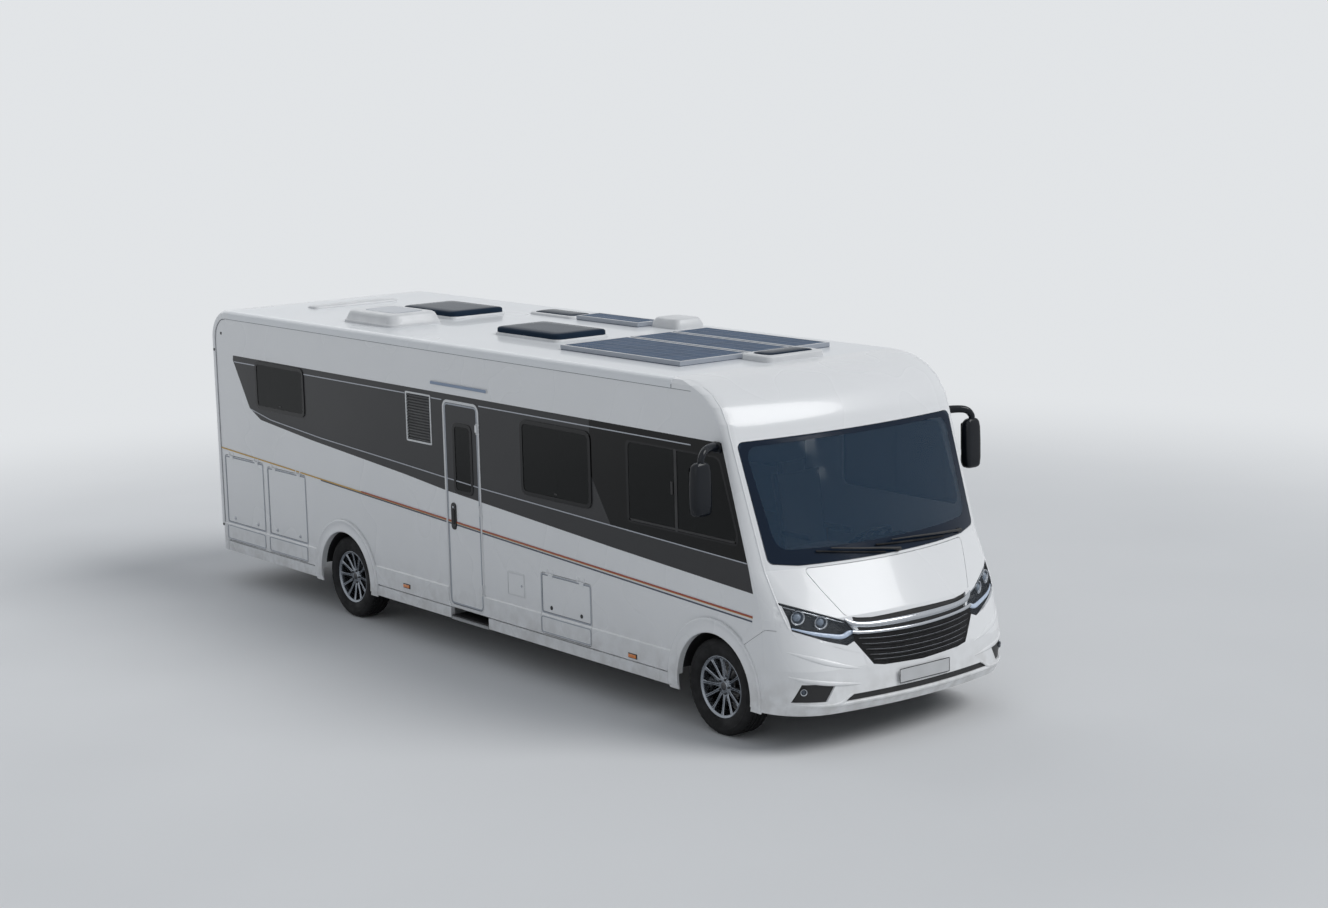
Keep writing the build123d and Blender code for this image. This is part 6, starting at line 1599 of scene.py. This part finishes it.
def dash_details():
    """Instrument hood, screen and the steering wheel over the plain dashboard."""
    parts = [block((DASH_X + x0, *low), (DASH_X + x1, *high)) for (x0, *low), (x1, *high) in DASH_BLOCKS]
    merge("dash_hood", parts, BLACK_PLASTIC, bevel=0.012)
    centre, tilt = Vector(WHEEL_PLACE), radians(WHEEL_TILT)
    normal = Vector((-cos(tilt), 0, sin(tilt)))
    up_way = normal.cross(Vector((0, 1, 0)))

    def place(angle, radius, lift):
        return centre + normal * lift + (Vector((0, 1, 0)) * cos(angle) + up_way * sin(angle)) * radius

    def on_axis(section, sides):
        lifts, radii = section
        return rod([centre + normal * lift for lift in lifts], list(radii), sides)

    circle = [place(tau * k / GRIP_STEPS, GRIP_RADIUS, 0.013) for k in range(GRIP_STEPS + 1)]
    grip = rod(circle, GRIP_THICK, 14)
    spokes = [rod([centre, place(radians(angle), 0.170, 0.010)], [0.022, 0.013], 12) for angle in (0, 180, 270)]
    parts = [grip, on_axis(BOSS, 28), on_axis(COLUMN, 20), *spokes]
    wheel = merge("wheel_grip", parts, BLACK_PLASTIC, crease=60.0)
    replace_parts(wheel, "steering_wheel")


# Studio
FLOOR_REACH = 90.0
FLOOR_COLOUR = (0.74, 0.75, 0.76)
FADE_START = 7.0
FADE_END = 15.0
BACKDROP = (0.76, 0.78, 0.80, 1.0)
AMBIENT = (0.86, 0.92, 1.0, 1.0)
AMBIENT_STRENGTH = 0.31
# Name, direction towards the lamp, strength and width in degrees
SUNS = (
    ("key", (0.58, 0.40, 0.71), 1.58, 34.0),
    ("fill", (0.35, -0.80, 0.50), 0.22, 60.0),
    ("back", (-0.85, 0.10, 0.50), 0.35, 50.0),
)
# The camera's place, its azimuth, elevation and roll in degrees, and its lens
CAMERA_PLACE = (16.972, -12.387, 5.225)
CAMERA_TURN = (51.679, 9.779, -1.406)
CAMERA_LENS = 65.70


def shown_to_eye(tree):
    """Whether a ray comes from the camera, or by way of gloss or glass."""
    light_path = new_node(tree, "ShaderNodeLightPath")
    total = light_path.outputs["Is Camera Ray"]
    for label in ("Is Glossy Ray", "Is Transmission Ray"):
        either = new_node(tree, "ShaderNodeMath", operation="MAXIMUM")
        tree.links.new(total, either.inputs[0])
        tree.links.new(light_path.outputs[label], either.inputs[1])
        total = either.outputs["Value"]
    return total


def mix_shaders(tree, share, first, second, target):
    """Turns one shader into another by a share."""
    mix = new_node(tree, "ShaderNodeMixShader")
    for index, source in enumerate((share, first, second)):
        tree.links.new(source, mix.inputs[index])
    tree.links.new(mix.outputs["Shader"], target)


def studio_floor():
    """A pale floor that keeps the shadow near the vehicle and runs into the backdrop further out."""
    mesh = bpy.data.meshes.new("floor")
    r = FLOOR_REACH
    mesh.from_pydata([(-r, -r, 0), (r, -r, 0), (r, r, 0), (-r, r, 0)], [], [(0, 1, 2, 3)])
    floor = bpy.data.objects.new("floor", mesh)
    bpy.context.scene.collection.objects.link(floor)
    ground = Finish("studio_floor", FLOOR_COLOUR, 0.8).mottle(0.4, 0.02, 2.0)
    tree = ground.tree
    distance = ground.node("ShaderNodeVectorMath", operation="LENGTH")
    ground.link(ground.place, distance.inputs[0])
    share = ground.product(ground.ramp(distance.outputs["Value"], FADE_START, FADE_END), shown_to_eye(tree))
    glow = ground.node("ShaderNodeEmission", Color=BACKDROP)
    mix_shaders(tree, share, ground.shader.outputs["BSDF"], glow.outputs["Emission"],
                tree.nodes["Material Output"].inputs["Surface"])
    mesh.materials.append(ground.material)


def studio_world():
    """Even light, and the same pale backdrop wherever the eye sees past the vehicle."""
    world = bpy.data.worlds.new("studio")
    bpy.context.scene.world = world
    world.use_nodes = True
    tree = world.node_tree
    tree.nodes.clear()
    lit = new_node(tree, "ShaderNodeBackground", Color=AMBIENT, Strength=AMBIENT_STRENGTH)
    shown = new_node(tree, "ShaderNodeBackground", Color=BACKDROP)
    mix_shaders(tree, shown_to_eye(tree), lit.outputs["Background"], shown.outputs["Background"],
                new_node(tree, "ShaderNodeOutputWorld").inputs["Surface"])


def studio_lights():
    """Soft, even lamps: the brightest from ahead on the left, as in the photograph."""
    for name, towards, strength, spread in SUNS:
        light = bpy.data.lights.new(name, "SUN")
        light.energy = strength
        light.angle = radians(spread)
        lamp = bpy.data.objects.new(name, light)
        bpy.context.scene.collection.objects.link(lamp)
        lamp.rotation_euler = Vector(towards).to_track_quat("Z", "Y").to_euler()


def studio_camera():
    """The camera of the photograph."""
    azimuth, elevation, roll = (radians(angle) for angle in CAMERA_TURN)
    back = Vector((sin(azimuth) * cos(elevation), -cos(azimuth) * cos(elevation), sin(elevation)))
    level = (-back).cross(Vector((0, 0, 1))).normalized()
    upright = level.cross(-back)
    right = level * cos(roll) + upright * sin(roll)
    up = upright * cos(roll) - level * sin(roll)
    data = bpy.data.cameras.new("camera")
    data.lens = CAMERA_LENS
    data.sensor_width = 36.0
    data.sensor_fit = "HORIZONTAL"
    data.clip_end = 300.0
    camera = bpy.data.objects.new("camera", data)
    bpy.context.scene.collection.objects.link(camera)
    camera.matrix_world = Matrix.Translation(CAMERA_PLACE) @ Matrix((right, up, back)).transposed().to_4x4()
    bpy.context.scene.camera = camera
    bpy.context.scene.view_settings.view_transform = "Standard"


for build in (studio_floor, studio_world, studio_lights, studio_camera, finish_nodes):
    build()
for side_name, side_sign in SIDES:
    for build in (band, lines, wall_edges, window_frames, cab_window_frames, side_fittings, arch_flares):
        build(side_name, side_sign)
for build in (door_band, door_furniture, vent_pieces, locker_borders, crown_skin, headlamps, grille_pieces,
              bumper_forms, plate_pieces, screen_border, wipers, mirror_pieces, wheels, roof_pieces, rear_pieces, seats,
              dash_details):
    build()
